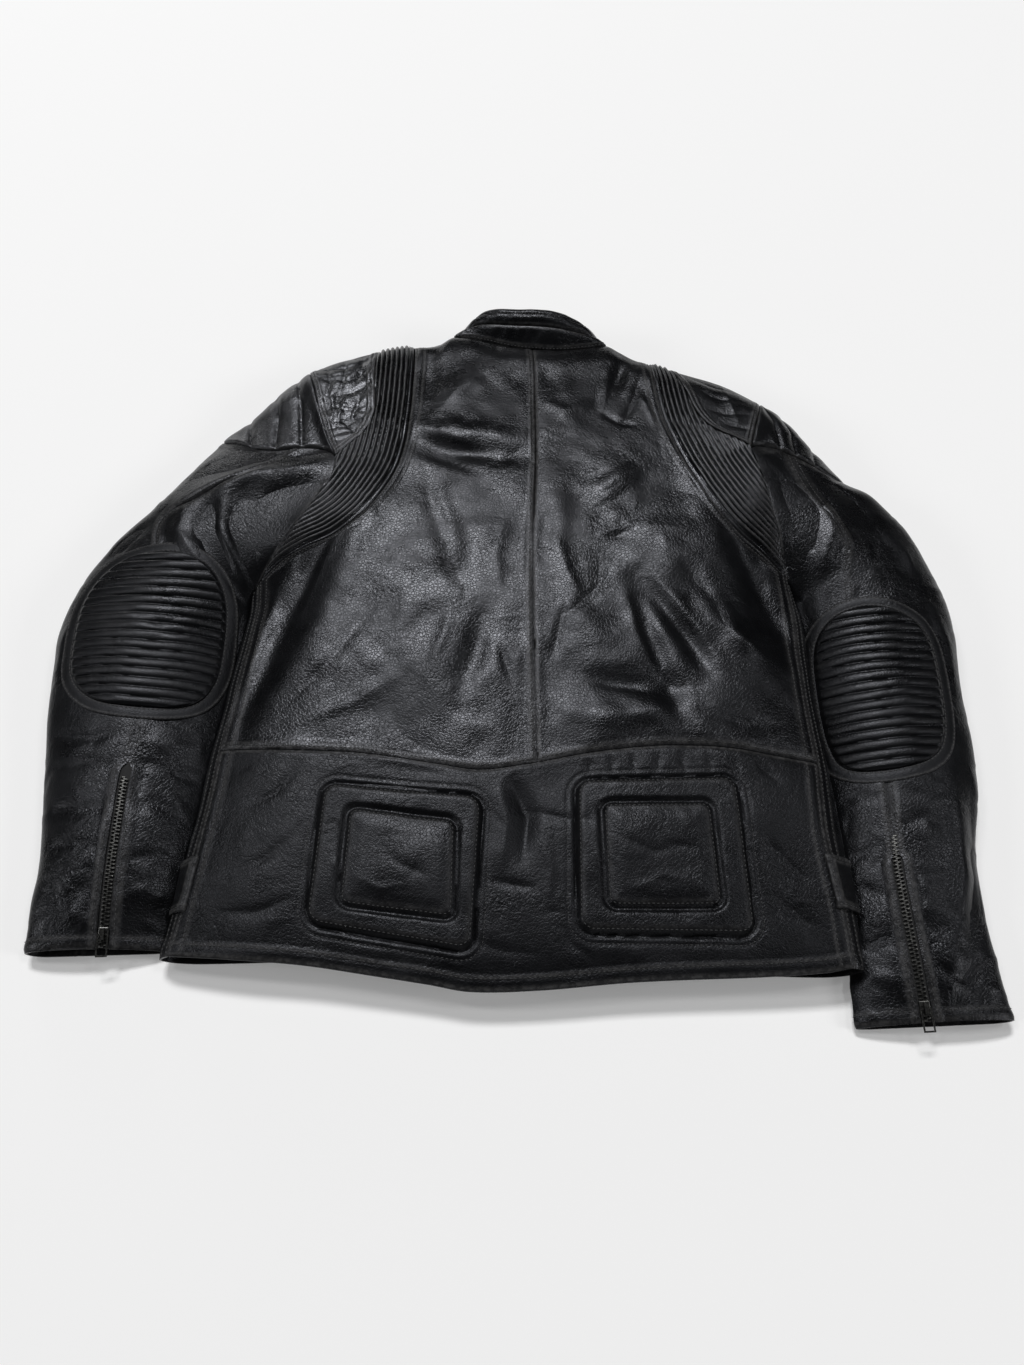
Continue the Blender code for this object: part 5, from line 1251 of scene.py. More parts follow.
def makeKidney():
    facts = kidneyPads
    left, right = line(kidneyTop["left"]), line(kidneyTop["right"])
    top = np.concatenate([left(spread(facts["leftColumns"])), right(spread(facts["rightColumns"]))[1:]])
    hem = line(hemBack)
    share = spread(1201)
    ends, hemEnds = (top[0, 0], top[-1, 0]), (hemBack[0][0], hemBack[-1][0])
    low = hem(np.interp(np.interp(top[:, 0], ends, hemEnds), hem(share)[:, 0], share))
    bars = spread(facts["rows"])
    left = line(seamRows["left"])(sideShare("left") * (1 - bars))
    right = line(seamRows["right"])(sideShare("right") * (1 - bars))
    base = lift(fill(top, low, left, right))
    way = lean(base)
    x, y = base[..., 0], base[..., 1]
    sides = sideDistances(base)
    kinds = {"low": "under", "high": "hem", "start": "double", "end": "double"}
    loose = smoothStep(leastDistance(sides) / 12 + 0.2)
    rise = kidneySwell(x, y) * loose
    rise += creaseHeight(x, y, scattered("kidney", facts["wrinkles"]), wrinkleSharp) * loose
    rise += kidneyRelief(x, y) + seamRise(sides, kinds)
    wear = seamWear(sides, kinds)
    for corners in facts["outer"] + facts["inner"]:
        d = quadDistance(x, y, corners, facts["roundness"])
        wear = np.maximum(wear, 0.35 * np.exp(-(((d - 5.0) / 2.0) ** 2)))
    skin = clothPiece("kidney_hide", base, way, rise, paints["kidney"], ["kidney_panel"],
                      wear)
    sewSides(skin, way, sides, kinds)
    for outer, inner in zip(facts["outer"], facts["inner"]):
        sewKidney(quadPath(outer, facts["roundness"], facts["stitchIn"]))
        sewKidney(quadPath(outer, facts["roundness"], -facts["stitchOut"]))
        sewKidney(quadPath(inner, facts["roundness"] * facts["innerRoundness"], facts["stitchIn"]))


def sewKidney(path):
    # stitches along a line of the plan, pulled a little into the leather
    points = lift(path)
    normals = lean(points)
    x, y = points[:, 0], points[:, 1]
    relief = kidneyRelief(x, y) + kidneySwell(x, y) - 0.15
    sew(points + normals * relief[:, None], normals, 0.5)


# edge: width of the plain border on the body's side; rows run down the strip, columns across its ribs
stripFacts = {"pitch": 4.9, "rise": 3.1, "round": 0.7, "edge": 4.5, "rows": 61, "columns": 112, "swell": 0.8}


def makeStrip(side):
    facts = stripFacts
    strip, patch, shoulder = stripBody[side], stripPatch[side], shoulderSeams[side]
    first, last = nearestShare(shoulder, strip[0]), nearestShare(shoulder, patch[0])
    half = spread(facts["rows"])
    inner = line(strip)(spread(2 * facts["rows"] - 1))
    edge = np.concatenate([line(patch)(half), line(armLowRows[side])(half)[1:]])
    top = line(shoulder)(spread(facts["columns"], first, last))
    low = inner[-1] + (top - top[0]) * 0.02
    base = lift(fill(inner, edge, top, low))
    way = lean(base)
    x, y = base[..., 0], base[..., 1]
    sides = sideDistances(base)
    fromBody = sides["low"] - facts["edge"]
    phase = fromBody / facts["pitch"] + 0.05 * softNoise(x, y, 9, 31)
    ribs = facts["rise"] * ribProfile(phase, facts["round"]) * smoothStep(fromBody + 1.0)
    welt = (fromBody < 0) * (1.4 - 0.5 * np.exp(-(((fromBody + 2.2) / 0.9) ** 2)))
    if side == "right":  # a fold presses this strip's ribs down in one place
        ribs *= 1 - 0.35 * np.exp(-(((y - 668 + 0.25 * (x - 180)) / 4.0) ** 2))
    rise = ribs + welt + softSwell(x, y, facts["swell"]) - 1.6 * np.exp(-((sides["high"] / 1.6) ** 2))
    rise -= 1.3 * np.exp(-((sides["low"] / 1.2) ** 2))
    wear = np.clip(ribProfile(phase) - 0.80, 0, 1) * 4.5 * smoothStep(fromBody)
    clothPiece("stretch_strip_%s_ribs" % side, base, way, rise, paints["strip"],
               ["stretch_strip_" + side], wear)


# crinkles of the left patch: size, seed and direction of each set, then their depth, width and stretch
patchFacts = {
    "rows": 96, "columns": 60, "base": 1.2, "swell": 1.3, "sharp": 0.7,
    "crinkles": ((19.0, 41, 35), (14.0, 42, -40), (10.0, 44, 8)),
    "depth": 0.75, "width": 0.13, "stretch": 2.6,
}


def makePatch(side):
    facts = patchFacts
    left = side == "left"
    patch, shoulder = stripPatch[side], shoulderSeams[side]
    patchRows = line(patch)(spread(facts["rows"]))
    outerRows = line(armTopRows[side])(spread(facts["rows"], 1.0, 0.03))
    start = line(shoulder)(spread(facts["columns"], nearestShare(shoulder, patch[0]), 0.0))
    end = patchRows[-1] + (outerRows[-1] - patchRows[-1]) * spread(facts["columns"])[:, None]
    base = lift(fill(patchRows, outerRows, start, end))
    way = lean(base)
    x, y = base[..., 0], base[..., 1]
    sides = sideDistances(base)
    kinds = {"low": "welt", "high": "topstitched", "start": "plain", "end": "plain"}
    loose = smoothStep(leastDistance(sides) / 8 + 0.3)
    creases = creaseHeight(x, y, patchCreases[side], facts["sharp"])
    rise = facts["base"] + (softSwell(x, y, facts["swell"]) + creases) * loose
    if left:
        rise += 0.5 * loose * softNoise(x, y, 12, 43)
        for size, seed, turn in facts["crinkles"]:
            fromLine = np.abs(turnedNoise(x, y, size, seed, turn, facts["stretch"]))
            rise -= facts["depth"] * loose * np.exp(-fromLine / facts["width"])
    rise += seamRise(sides, kinds)
    paint = paints["crinkled" if left else "sleeve"]
    skin = clothPiece("shoulder_patch_%s_hide" % side, base, way, rise, paint,
                      ["shoulder_patch_" + side], seamWear(sides, kinds))
    sewSides(skin, way, sides, kinds)


# the denser first rows run along the armhole; blend: share of the length over which the sleeve turns from it
sleeveFacts = {
    "topRows": 34, "rows": 130, "topPart": 0.16, "inner": 68, "outer": 66, "blend": 0.137, "swell": 1.4,
    "sharp": 0.4, "wrinkles": {"left": (-396, -236, 180, 640), "right": (250, 392, 130, 640)},
}


def makeSleeve(side):
    sleeve = Sleeve(side)
    facts = sleeves[side]
    cloth = sleeveFacts
    topPart = cloth["topPart"]
    down = joined(spread(cloth["topRows"], 0.0, topPart), spread(cloth["rows"], topPart, 1.0))
    seam = sleeve.seamU(down)
    opened = smoothStep((down - facts["zipFrom"]) / 0.014) * facts["zipHalf"]
    step = sleeve.sideStep(seam, down, opened)
    for part in ("inner", "outer"):
        share = spread(cloth[part])[:, None]
        if part == "inner":
            start, end = (seam + step)[None], underSeamU
        else:
            start, end = (seam - step)[None], underSeamU - 1
        u = start + (end - start) * share
        v = np.broadcast_to(down[None], u.shape)
        base = sleeve.at(u, v)
        way = sleeve.way(u, v)
        near = np.clip(1 - v / cloth["blend"], 0, 1)[..., None]
        way = unit(way * (1 - near) + seamWay(base) * near)
        x, y = base[..., 0], base[..., 1]
        sides = sideDistances(base)
        upper = smoothStep((way[..., 2] + 0.1) / 0.5)
        kinds = {"low": "topstitched", "high": "cuff", "start": "topstitched", "end": "plain"}
        loose = smoothStep(leastDistance(sides) / 10 + 0.25)
        rise = creaseHeight(x, y, sleeveCreases[side], cloth["sharp"]) * upper * (0.3 + 0.7 * loose)
        rise += creaseHeight(x, y, scattered("sleeve", cloth["wrinkles"][side]), wrinkleSharp) * loose
        rise += softSwell(x + 31, y - 17, cloth["swell"]) * loose * (0.4 + 0.6 * upper)
        rise += seamRise(sides, kinds)
        zipped = smoothStep((v - facts["zipFrom"]) / 0.02)
        welt = 1 - smoothStep((sides["start"] - 6.0) / 1.6)
        rise += zipped * (0.8 * welt - 0.6 * np.exp(-(((sides["start"] - 7.2) / 1.1) ** 2)))
        wear = seamWear(sides, kinds)
        wear = np.maximum(wear, 0.5 * zipped * np.exp(-(((sides["start"] - 1.5) / 1.6) ** 2)))
        name = "sleeve_%s_%s" % (part, side)
        paint = paints["sleeve"]
        skin = clothPiece(name + "_hide", base, way, rise, paint, [name], wear)
        sewSides(skin, way, sides, {"high": "cuff", "start": "topstitched"})
    print("sleeve made:", side)
    return sleeve


padFacts = {
    # sewn channels of each shoulder pad: x, y at start, middle and end
    "left": [
        (-212, 738, -205, 700, -199, 648), (-232, 716, -226, 688, -224, 646),
        (-256, 694, -253, 674, -248, 650),
    ],
    "right": [
        (246, 700, 252, 682, 254, 646), (262, 690, 268, 668, 268, 640), (282, 672, 288, 656, 286, 630),
    ],
    "puff": 3.0, "round": 9.0, "columns": 80, "topRows": 40, "underRows": 46,
}


def channelDistance(x, y, table):
    # distance in the plan from the nearest sewn channel
    best = np.full_like(x, 1e9)
    for x0, y0, x1, y1, x2, y2 in table:
        for ax, ay, bx, by in ((x0, y0, x1, y1), (x1, y1, x2, y2)):
            dx, dy = bx - ax, by - ay
            t = np.clip(((x - ax) * dx + (y - ay) * dy) / (dx * dx + dy * dy), 0, 1)
            best = np.minimum(best, np.hypot(x - ax - t * dx, y - ay - t * dy))
    return best


def makeShoulderPad(side):
    left = side == "left"
    facts = padFacts
    top = lift(line(armTopRows[side])(spread(facts["topRows"], 0.03, 1.0)))
    rows = onSeam(armUnderRows[side])
    low = reach(rows)[cornerRow]
    under = line(rows)(spread(facts["underRows"], low, 1.0))[::-1]
    loop = np.concatenate([top, under[1:]])
    across = spread(facts["columns"], 0.0, 0.96)
    start = line(padSeam(padLowRows[side]))(across)
    end = line(padUnderRows[side])(across)
    start[0], end[0] = loop[0], loop[-1]
    base = fill(loop, lastLoop(start[-1], end[-1], len(loop), left), start, end)
    way = sheetNormals(base) * (1.0 if left else -1.0)
    sides = sideDistances(base)
    near = np.clip(1 - across / 0.425, 0, 1)[None, :, None]
    rim = np.clip(1 - np.minimum(sides["start"], sides["end"]) / 30.0, 0, 1)[..., None]
    near = np.maximum(near, rim)
    way = unit(way * (1 - near) + seamWay(base) * near)
    x, y = base[..., 0], base[..., 1]
    upper = smoothStep((way[..., 2] + 0.15) / 0.45)
    kinds = {"low": "under", "high": "plain", "start": "under", "end": "plain"}
    toEdge = np.minimum(np.minimum(sides["low"], sides["start"]), sides["high"] + 6)
    d = np.minimum(channelDistance(x, y, facts[side]), toEdge)
    puff = facts["puff"] * np.sqrt(np.clip(1 - (1 - np.clip(d / facts["round"], 0, 1)) ** 2, 0, 1))
    rise = (puff + softSwell(x, y, 0.7) * smoothStep(toEdge / 8)) * upper
    rise += 0.5 * upper * turnedNoise(x, y, 6, 51, 70, 1.5) * np.exp(-((d / 6.0) ** 2))
    rise += seamRise(sides, kinds)
    clothPiece("shoulder_pad_%s_hide" % side, base, way, rise,
               paints["crinkled" if left else "sleeve"], ["shoulder_pad_" + side],
               seamWear(sides, kinds) * 0.6)
    print("shoulder pad made:", side)


# the welt is swept through points that far outside the pad's outline, each with its share of the height
elbowFacts = {
    "ribs": 17, "rise": 2.0, "base": 1.4, "round": 0.27, "rows": 205, "columns": 44,
    "grows": (-0.6, 0.2, 1.0, 2.4, 4.5, 6.6, 8.4, 9.2, 10.0),
    "welt": (0.0, 0.9, 0.7, 0.95, 1.0, 0.95, 0.7, 0.8, -0.2), "stitched": (2, 6),
}


def elbowOutline(side, grow, count=141):
    rows = np.array(elbowRows[side], float)
    ringed = np.concatenate([rows[-3:], rows, rows[:3]])
    keys = np.arange(-3.0, len(rows) + 3.0)
    outline = roundedKeys(keys, ringed, spread(count) * len(rows))
    tangent = unit(np.roll(outline[:-1], -1, axis=0) - np.roll(outline[:-1], 1, axis=0))
    outward = np.stack([tangent[:, 1], -tangent[:, 0]], axis=-1)
    facing = np.sign(((outline[:-1] - rows.mean(axis=0)) * outward).sum(-1, keepdims=True))
    grown = outline[:-1] + outward * facing * grow
    return np.concatenate([grown, grown[:1]])


def makeElbow(side, sleeve):
    facts = elbowFacts
    grows = np.array(facts["grows"])
    plan = np.stack([elbowOutline(side, grow) for grow in grows], axis=1)
    u, v = sleeve.locate(plan[..., 0], plan[..., 1])
    base, way = sleeve.at(u, v), sleeve.way(u, v)
    across = np.array(facts["welt"])
    low = base + way * 0.2
    x, y = base[..., 0], base[..., 1]
    rise = across[None] * (1 + 0.12 * softNoise(x, y, 14, 61)) + softSwell(x + 31, y - 17, 0.9)
    wear = np.exp(-(((grows - 8.6) / 0.8) ** 2))[None] + 0.6 * np.exp(-(((grows - 1.0) / 0.8) ** 2))[None]
    wear = np.broadcast_to(wear, x.shape)
    skin = clothPiece("elbow_ring_%s_welt" % side, low, way, rise, paints["trim"],
                      ["elbow_ring_" + side], wear, wrap=True)
    for column in facts["stitched"]:
        sew(skin[:, column], way[:, column], 1.0)

    outline = elbowOutline(side, -0.4)
    top, bottom = outline[:, 1].max() - 0.8, outline[:, 1].min() + 0.8
    levels = np.concatenate([[top], spread(facts["rows"], top - 1.0, bottom + 1.0), [bottom]])
    ease = (1 - np.cos(np.pi * spread(facts["columns"]))) / 2
    rows = []
    for level in levels:
        low, high = crossingX(outline, level)
        rows.append(np.stack([low + (high - low) * ease, np.full(len(ease), level)], axis=-1))
    plan = np.stack(rows)
    middle = 0.5 * (top + bottom)
    u, v = sleeve.locate(plan[..., 0], plan[..., 1])
    base, way = sleeve.at(u, v), sleeve.way(u, v)
    x, y = plan[..., 0], plan[..., 1]
    sag = 0.9 * softNoise(x, y, 40, 62) + 0.15 * softNoise(x, y, 11, 63)
    phase = (y + sag * smoothStep((np.abs(top - y)) / 12) - bottom) / ((top - bottom) / facts["ribs"])
    toRim = np.minimum.reduce([np.abs(x - x[:, :1]), np.abs(x[:, -1:] - x), top - y + 0.4, y - bottom + 0.4])
    rim = smoothStep(toRim / 3.0)
    ribs = ribProfile(phase, facts["round"])
    rise = facts["base"] + facts["rise"] * ribs * (0.25 + 0.75 * rim)
    pinched = np.exp(-(((y - middle) / 22) ** 2)) * np.exp(-(((x - x.mean()) / 34) ** 2))
    rise += 0.6 * turnedNoise(x, y, 6, 64, 90, 1.2) * pinched * (0.5 if side == "right" else 1.0)
    rise += softSwell(x + 31, y - 17, 0.6)
    wear = np.clip(ribs - 0.93, 0, 1) * 3.0 * smoothStep(softNoise(x, y, 18, 65) + 0.5)
    low = base + way * 0.3
    thing = gridMesh("elbow_pad_%s_ribs" % side, low + way * rise[..., None], low - way * 0.6, False, wear)
    dress(thing, paints["ribbed"], ["elbow_pad_" + side])
    print("elbow made:", side)


def crossingX(outline, level):
    # the least and the greatest x where an outline passes that y
    found = []
    for start, end in zip(outline[:-1], outline[1:]):
        if (start[1] - level) * (end[1] - level) <= 0 and start[1] != end[1]:
            t = (level - start[1]) / (end[1] - start[1])
            found.append(start[0] + t * (end[0] - start[0]))
    return min(found), max(found)


# tooth: its length, width and height; deep: how far the tape lies below the sleeve
zipFacts = {"tape": 7.0, "tapeColumns": 15, "rows": 90, "pitch": 3.0, "tooth": (3.0, 1.7, 1.6), "deep": 1.5}


def makeTeeth(name, path, across, up):
    # moulded teeth, left and right in turn, along a chain
    steps = np.concatenate([[0], np.cumsum(np.linalg.norm(np.diff(path, axis=0), axis=1))])
    marks = np.arange(1.0, steps[-1] - 1.0, zipFacts["pitch"] / 2)
    centre, side, high = (valuesAt(marks, steps, rows) for rows in (path, across, up))
    side, high = unit(side), unit(high)
    run = unit(np.cross(high, side))
    long, wide, tall = zipFacts["tooth"]
    way = np.where(np.arange(len(marks)) % 2, 1.0, -1.0)[:, None]
    points, faces = [], []
    shape = [(-0.15, -0.5), (1.0, -0.38), (1.0, 0.38), (-0.15, 0.5)]
    for layer, shrink in ((0.0, 1.0), (0.75, 1.0), (1.0, 0.62)):
        for a, b in shape:
            outward = side * way * (a * long * (shrink if a > 0 else 1))
            points.append(centre + outward + run * b * wide * shrink + high * layer * tall)
    points = np.stack(points, axis=1).reshape(-1, 3)
    block = []
    for layer in (0, 1):
        for k in range(4):
            n = (k + 1) % 4
            block.append((4 * layer + k, 4 * layer + n, 4 * layer + 4 + n, 4 * layer + 4 + k))
    block += [(8, 9, 10, 11), (3, 2, 1, 0)]
    for number in range(len(marks)):
        turned = way[number, 0] < 0
        for face in block:
            ring = tuple(12 * number + v for v in face)
            faces.append(ring[::-1] if turned else ring)
    thing = meshObject(name, points, faces, smooth=False)
    work = bmesh.new()
    work.from_mesh(thing.data)
    bmesh.ops.recalc_face_normals(work, faces=work.faces)
    work.to_mesh(thing.data)
    work.free()
    dress(thing, paints["metal"])


def makeCuffZip(side, sleeve):
    down = spread(zipFacts["rows"], 0.664, 0.999)
    seam = sleeve.seamU(down)
    offsets = np.linspace(-zipFacts["tape"], zipFacts["tape"], zipFacts["tapeColumns"])
    step = np.stack([sleeve.sideStep(seam, down, offset) for offset in offsets])
    u = seam[None] + step
    v = np.broadcast_to(down[None], u.shape)
    way = sleeve.way(u, v)
    base = sleeve.at(u, v) - way * zipFacts["deep"]
    rise = 0.35 * np.exp(-((offsets / 1.2) ** 2))[:, None] * np.ones(len(down))[None]
    skin = clothPiece("cuff_zip_%s_tape" % side, base, way, rise, paints["tape"],
                      ["cuff_zip_" + side], thickness=0.8)
    middle = zipFacts["tapeColumns"] // 2
    seen = slice(int(len(down) * 0.16), None)
    up, across = way[middle][seen], (skin[middle + 1] - skin[middle - 1])[seen]
    makeTeeth("cuff_zip_%s_teeth" % side, skin[middle][seen] + up * 0.1, across, up)


# rows run up the side and round the armhole; each row goes through five keys, from the seam to the centre
frontFacts = {"sideRows": 60, "armRows": 80, "swell": 0.9, "wrinkles": (-250, 250, 170, 740)}
frontStops = joined(spread(20, 0.0, 1.5), spread(10, 1.5, 3.2), spread(8, 3.2, 5.0))
frontKeys = (0.0, 1.0, 2.0, 3.2, 5.0)
# shares of the shoulder seam at each stop of a row that follows it
coarseStops = (0.0, 0.6, 1.2, 2.0, 2.6, 3.2, 4.2, 5.0)
shoulderStops = (0.0, 0.12, 0.24, 0.38, 0.52, 0.68, 0.84, 1.0)


def makeFronts():
    for side in ("left", "right"):
        rows = frontRows(side)
        way = sheetNormals(rows) * (1.0 if side == "left" else -1.0)
        near = np.clip(1 - frontStops / 1.5, 0, 1)[None, :, None]
        body = (np.arange(len(rows)) < frontFacts["sideRows"] + frontFacts["armRows"] // 2)[:, None, None]
        shared = np.where(body, lean(rows), seamWay(rows))
        way = unit(way * (1 - near) + shared * near)
        x, y = rows[..., 0], rows[..., 1]
        sides = sideDistances(rows)
        kinds = {"low": "double", "start": "hem", "high": "topstitched", "end": "plain"}
        above = smoothStep((rows[..., 2] - 1.0) / 4.0)
        wrinkles = creaseHeight(x, y, scattered("front", frontFacts["wrinkles"]), wrinkleSharp)
        rise = (wrinkles + softSwell(x, y, frontFacts["swell"])) * above
        rise += seamRise(sides, kinds) * np.maximum(above, 0.15)
        skin = clothPiece("front_%s_hide" % side, rows, way, rise, paints["body"],
                          ["front_" + side], seamWear(sides, kinds))
        sewSides(skin, way, sides, {"low": "double"})
    print("fronts made")


def frontRows(side):
    # rows of the lower layer from the side seam round the edge to the centre front
    sign = 1.0 if side == "left" else -1.0
    seam, edge = line(seamRows[side]), line(edgeRows[side])
    armRows = onSeam(armUnderRows[side])
    under = line(armRows)
    shoulder = line(shoulderSeams[side])
    centre = centreFront - sign * frontGapHalf
    rows = []
    for t in spread(frontFacts["sideRows"])[:-1]:
        start, rim = lift(seam(t)), edge(t)
        end = np.array([centre, start[1] + frontHemSetBack * (1 - t), 0.0])
        rows.append(through(frontKeys, [start] + roundEdge(rim, sign) + [end], frontStops))
    numbers = spread(frontFacts["armRows"], 0.0, 13.0)
    for number, t in zip(numbers, np.interp(numbers, np.arange(len(armRows)), reach(armRows))):
        start = under(t)
        if number < 9:
            end = np.array([centre, np.interp(number, range(9), frontEndY[side]), 0.0])
        elif number < 10:
            end = np.array([centre, np.interp(number, [9, 10], [705, 744]), 0.0])
        else:
            end = neckPoints(np.array([frontNeckShare(side, number)]))[0]
        if number < 9:
            steps = [start]
            for far, part in ((6.0, 0.62), (16.0, 0.25), (48.0, 0.0)):
                py = start[1] + (end[1] - start[1]) * far / 80.0
                steps.append(np.array([start[0] + sign * far, py, start[2] * part]))
            row = through(frontKeys, steps + [end], frontStops)
            if number < 2:
                first = through(frontKeys, [start] + roundEdge(edge(0.985), sign) + [end], frontStops)
                row = first * (1 - number / 2) + row * number / 2
            rows.append(row)
        else:
            rows.append(shoulderRow(shoulder, number, start, end))
    return np.array(rows)


def shoulderRow(shoulder, number, start, end):
    # rows above the armhole bend from straight across to the shoulder seam itself
    share = np.interp(frontStops, coarseStops, shoulderStops)
    shift = np.interp(number, [9, 10, 11, 12, 13], [-55, -22, 1, 7, 0.3])
    steps = lift(shoulder(share) + [0, shift])
    steps[:, 2] *= np.interp(number, [9, 10, 11, 12, 13], [0, 0.03, 0.25, 0.6, 1])
    ease = np.clip(1 - share / 0.25, 0, 1)[:, None]
    steps += (start - steps[0]) * ease
    steps += (end - steps[-1]) * np.clip((share - 0.75) / 0.25, 0, 1)[:, None]
    return steps


def roundEdge(rim, sign):
    # from the widest point of a rolled edge down to the surface
    low = rim + np.array([sign * 7.0, 0.0, -0.68 * rim[2]])
    foot = rim + np.array([sign * 30.0, 0.0, -rim[2]])
    return [rim, low, foot]


def frontNeckShare(side, number):
    # where the last rows of a front meet the neck
    marks = [neckShare(row) for row in ((0, 2, 3, 4) if side == "left" else (15, 13, 12, 11))]
    return np.interp(number, [10, 11, 12, 13], marks)


collarFacts = {"columns": 260, "rows": 16, "stand": 1.2, "roll": 3.4, "stitched": 9}


def makeCollar():
    facts = collarFacts
    rows = np.array(collarRows, float)
    share = spread(facts["columns"])
    numbers = np.arange(len(rows))
    order = np.interp(share, reach(rows[:, :3]), numbers)
    neck = neckPoints(share)
    groove, top = (
        line(part)(np.interp(order, numbers, reach(part))) for part in (rows[:, 3:6], rows[:, 6:9])
    )
    fine = facts["rows"]
    half = np.concatenate([[-0.06], spread(fine)[1:]])[None, :, None]
    low = neck[:, None] * (1 - half) + groove[:, None] * half
    high = groove[:, None] * (1 - half) + top[:, None] * half
    way = sheetNormals(np.concatenate([low, high[:, 1:]], axis=1))
    for part, base, normals in (("stand", low, way[:, :fine]), ("roll", high, way[:, fine - 1 :])):
        x, y = base[..., 0], base[..., 1]
        sides = sideDistances(base)
        across = spread(fine)[None]
        swell = facts[part] * np.sqrt(np.clip(np.sin(np.pi * across), 0, 1))
        creases = 0.5 * turnedNoise(x, y, 7, 71, 90, 1.2) + 0.6 * softNoise(x, y, 16, 72)
        rise = swell + creases * np.sin(np.pi * across) ** 0.5
        if part == "roll":
            rise = rise - 0.9 * np.exp(-(((across - 0.55) / 0.07) ** 2))
        lowKind = "topstitched" if part == "stand" else "under"
        kinds = {"low": lowKind, "high": "under", "start": "plain", "end": "plain"}
        rise = rise + seamRise(sides, kinds)
        skin = clothPiece("collar_%s_hide" % part, base, normals, rise, paints["sleeve"],
                          ["collar_" + part], seamWear(sides, kinds))
        if part == "stand":
            sewSides(skin, normals, sides, kinds)
        else:
            sew(skin[:, facts["stitched"]], normals[:, facts["stitched"]])
    print("collar made")


tabFacts = {
    "y": (208.0, 250.0), "rows": 40, "columns": 26, "inboard": (5.0, 3.8, 2.5, 1.2), "lift": 0.9, "rise": 2.1,
}


def makeSideTab(side):
    facts = tabFacts
    sign = 1.0 if side == "left" else -1.0
    seam, edge = seamRows[side], edgeRows[side]
    rows = []
    for y in spread(facts["rows"], *facts["y"]):
        start = lift(line(seam)(seamAtY(seam, y)))
        rim = line(edge)(seamAtY(edge, y))
        keys = [start] + roundEdge(rim, sign) + [start * 0]
        base = through(frontKeys, keys, spread(facts["columns"], 0.0, 1.5))
        inboard = [lift(start + [sign * step, 0, 0]) for step in facts["inboard"]]
        rows.append(np.concatenate([np.array(inboard), base]))
    sheet = np.array(rows)
    way = sheetNormals(sheet) * sign
    base = sheet + way * facts["lift"]
    sides = sideDistances(base)
    kinds = {"low": "topstitched", "high": "plain", "start": "topstitched", "end": "topstitched"}
    rise = facts["rise"] + seamRise(sides, kinds) + 0.3 * softNoise(sheet[..., 0], sheet[..., 1], 9, 81)
    skin = clothPiece("side_tab_%s_strap" % side, base, way, rise, paints["trim"],
                      ["side_tab_" + side], seamWear(sides, kinds))
    sewSides(skin, way, sides, {"start": "topstitched", "end": "topstitched", "low": "topstitched"})


def seamAtY(rows, y):
    # the share of a line at which it reaches that y
    share = spread(401)
    return float(share[np.argmin(np.abs(line(rows)(share)[:, 1] - y))])


# half width of the tape, its ends, its height; y and size of the slider, its edge's bevel
frontZipFacts = {
    "half": 10.0, "from": 188.0, "to": 735.0, "columns": 13, "rows": 60, "z": 2.6, "teethZ": 2.4,
    "slider": 733.0, "sliderZ": 2.0, "sliderSize": (8.0, 11.0, 3.0), "bevel": 0.9,
}


def makeFrontZip():
    facts = frontZipFacts
    columns, rows = facts["columns"], facts["rows"]
    across = spread(columns, -facts["half"], facts["half"]) + centreFront
    along = spread(rows, facts["from"], facts["to"])
    base = np.zeros((columns, rows, 3))
    base[..., 0], base[..., 1], base[..., 2] = across[:, None], along[None], facts["z"]
    way = np.broadcast_to(np.array([0.0, 0.0, -1.0]), base.shape)
    rise = 0.3 * np.exp(-(((across - centreFront) / 1.2) ** 2))[:, None] * np.ones(rows)[None]
    clothPiece("front_zip_tape", base, way, rise, paints["tape"], ["front_zip"],
               thickness=0.9)
    path = np.stack([np.full(rows, centreFront), along, np.full(rows, facts["teethZ"])], -1)[:-1]
    side = np.broadcast_to(np.array([1.0, 0.0, 0.0]), path.shape)
    makeTeeth("front_zip_teeth", path, side, np.broadcast_to(way[0, 0], path.shape))
    bpy.ops.object.select_all(action="DESELECT")
    bpy.ops.mesh.primitive_cube_add(size=mm)
    slider = bpy.context.active_object
    slider.name = "front_zip_slider"
    middle = np.array([centreFront, facts["slider"], facts["sliderZ"]]) - origin
    size = facts["sliderSize"]
    for vertex in slider.data.vertices:
        vertex.co = Vector([(vertex.co[k] * 1000 * size[k] + middle[k]) * mm for k in range(3)])
    bevel = slider.modifiers.new("Bevel", "BEVEL")
    bevel.width, bevel.segments = facts["bevel"] * mm, 3
    bpy.ops.object.modifier_apply(modifier=bevel.name)
    dress(slider, paints["metal"])


def paintMetalNodes():
    # the cuffs' sliders and pulls keep the frame's own meshes
    for side in ("left", "right"):
        for name in ("cuff_slider_" + side, "cuff_pull_" + side):
            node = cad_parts[name]
            node.data.materials.clear()
            node.data.materials.append(paints["metal"])


for side in ("left", "right"):
    makeHalfBack(side)
    makeStrip(side)
    makePatch(side)
makeKidney()
print("top layer made, stitches so far:", threads["count"])
for side in ("left", "right"):
    arm = makeSleeve(side)
    makeShoulderPad(side)
    makeElbow(side, arm)
    makeCuffZip(side, arm)
    makeSideTab(side)
makeFronts()
makeCollar()
makeFrontZip()
paintMetalNodes()
makeThreads("stitching", paints["thread"])
print("stitches:", threads["count"])


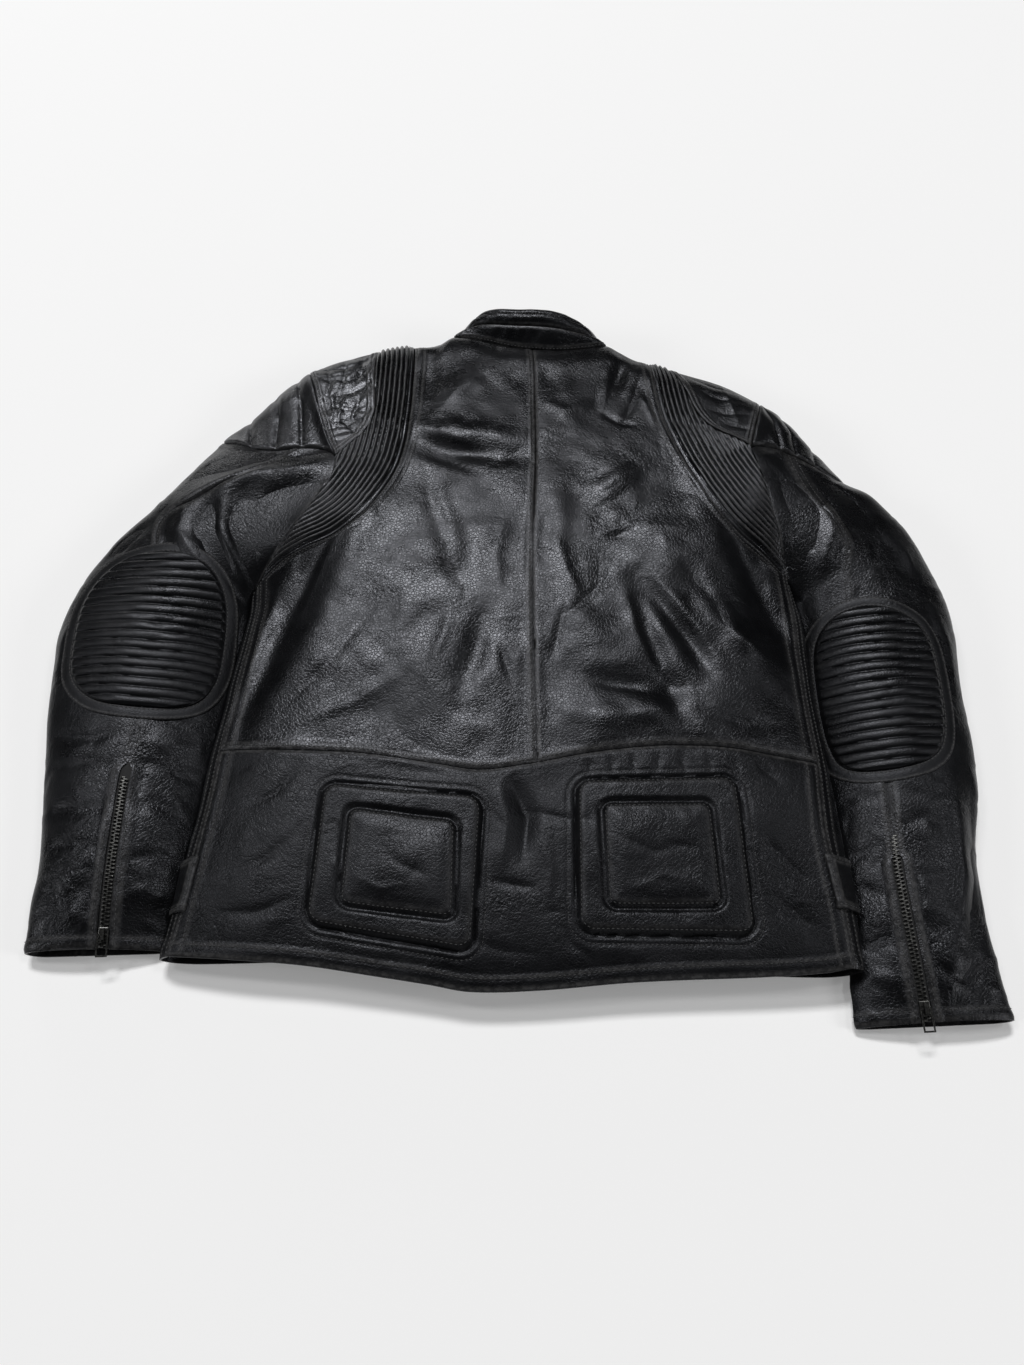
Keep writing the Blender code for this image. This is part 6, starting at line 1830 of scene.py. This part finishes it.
studio = {
    "floor": (0.81, 0.81, 0.81), "glow": 0.165, "world": 0.01, "worldColour": (0.97, 0.985, 1.0, 1.0),
    "floorSize": 14.0, "floorPlace": (0, 2.0, -0.0004),
    # name: place, aim, width, depth, power
    "lamps": {
        "farSoftbox": ((-0.95, 4.5, 7.85), (0.0, 0.05, 0.0), 2.8, 1.3, 530.0),
        "leftSoftbox": ((-4.4, 1.6, 7.6), (-0.3, -0.2, 0.0), 1.0, 1.4, 80.0),
        "rightSoftbox": ((4.3, 1.2, 7.6), (0.3, -0.2, 0.0), 1.0, 1.4, 70.0),
        "lowPanel": ((-2.2, 4.6, 1.0), (-0.2, 0.2, 0.0), 1.2, 0.8, 16.0),
        "leftPanel": ((-3.0, -0.7, 1.7), (-0.2, -0.1, 0.0), 0.9, 0.9, 16.0),
        "rightPanel": ((3.0, -0.9, 1.7), (0.2, -0.2, 0.0), 0.9, 0.9, 18.0),
        "nearPanel": ((0.4, -3.6, 1.5), (0.0, -0.3, 0.0), 1.2, 1.2, 7.0),
    },
}


def makeStudio():
    bpy.ops.object.select_all(action="DESELECT")
    bpy.ops.mesh.primitive_plane_add(size=studio["floorSize"], location=studio["floorPlace"])
    floor = bpy.context.active_object
    floor.name = "floor"
    m = Maker("paleFloor")
    floor.data.materials.append(m.finish(
        Base_Color=(*studio["floor"], 1.0), Roughness=0.9, Emission_Color=(1.0, 1.0, 1.0, 1.0),
        Emission_Strength=studio["glow"],
    ))
    world = bpy.data.worlds.new("studio")
    bpy.context.scene.world = world
    world.use_nodes = True
    back = world.node_tree.nodes["Background"]
    back.inputs["Color"].default_value = studio["worldColour"]
    back.inputs["Strength"].default_value = studio["world"]
    bpy.context.scene.view_settings.view_transform = "Standard"
    for name, (place, aim, width, depth, power) in studio["lamps"].items():
        lamp = bpy.data.lights.new(name, "AREA")
        lamp.shape, lamp.size, lamp.size_y, lamp.energy = "RECTANGLE", width, depth, power
        thing = bpy.data.objects.new(name, lamp)
        bpy.context.scene.collection.objects.link(thing)
        thing.location = place
        thing.rotation_euler = (Vector(aim) - Vector(place)).to_track_quat("-Z", "Y").to_euler()


# the photo's view: 61 degrees above the surface
camera = {"lens": 26.0, "sensor": 36.0, "near": 0.01, "place": (0.0036, -0.4751, 0.760), "tilt": 29}


def makeCamera():
    data = bpy.data.cameras.new("photoCamera")
    data.lens, data.sensor_width, data.sensor_fit = camera["lens"], camera["sensor"], "AUTO"
    data.clip_start = camera["near"]
    thing = bpy.data.objects.new("photoCamera", data)
    bpy.context.scene.collection.objects.link(thing)
    thing.location = camera["place"]
    thing.rotation_euler = (math.radians(camera["tilt"]), 0, 0)
    bpy.context.scene.camera = thing


makeStudio()
makeCamera()
print("finishing")
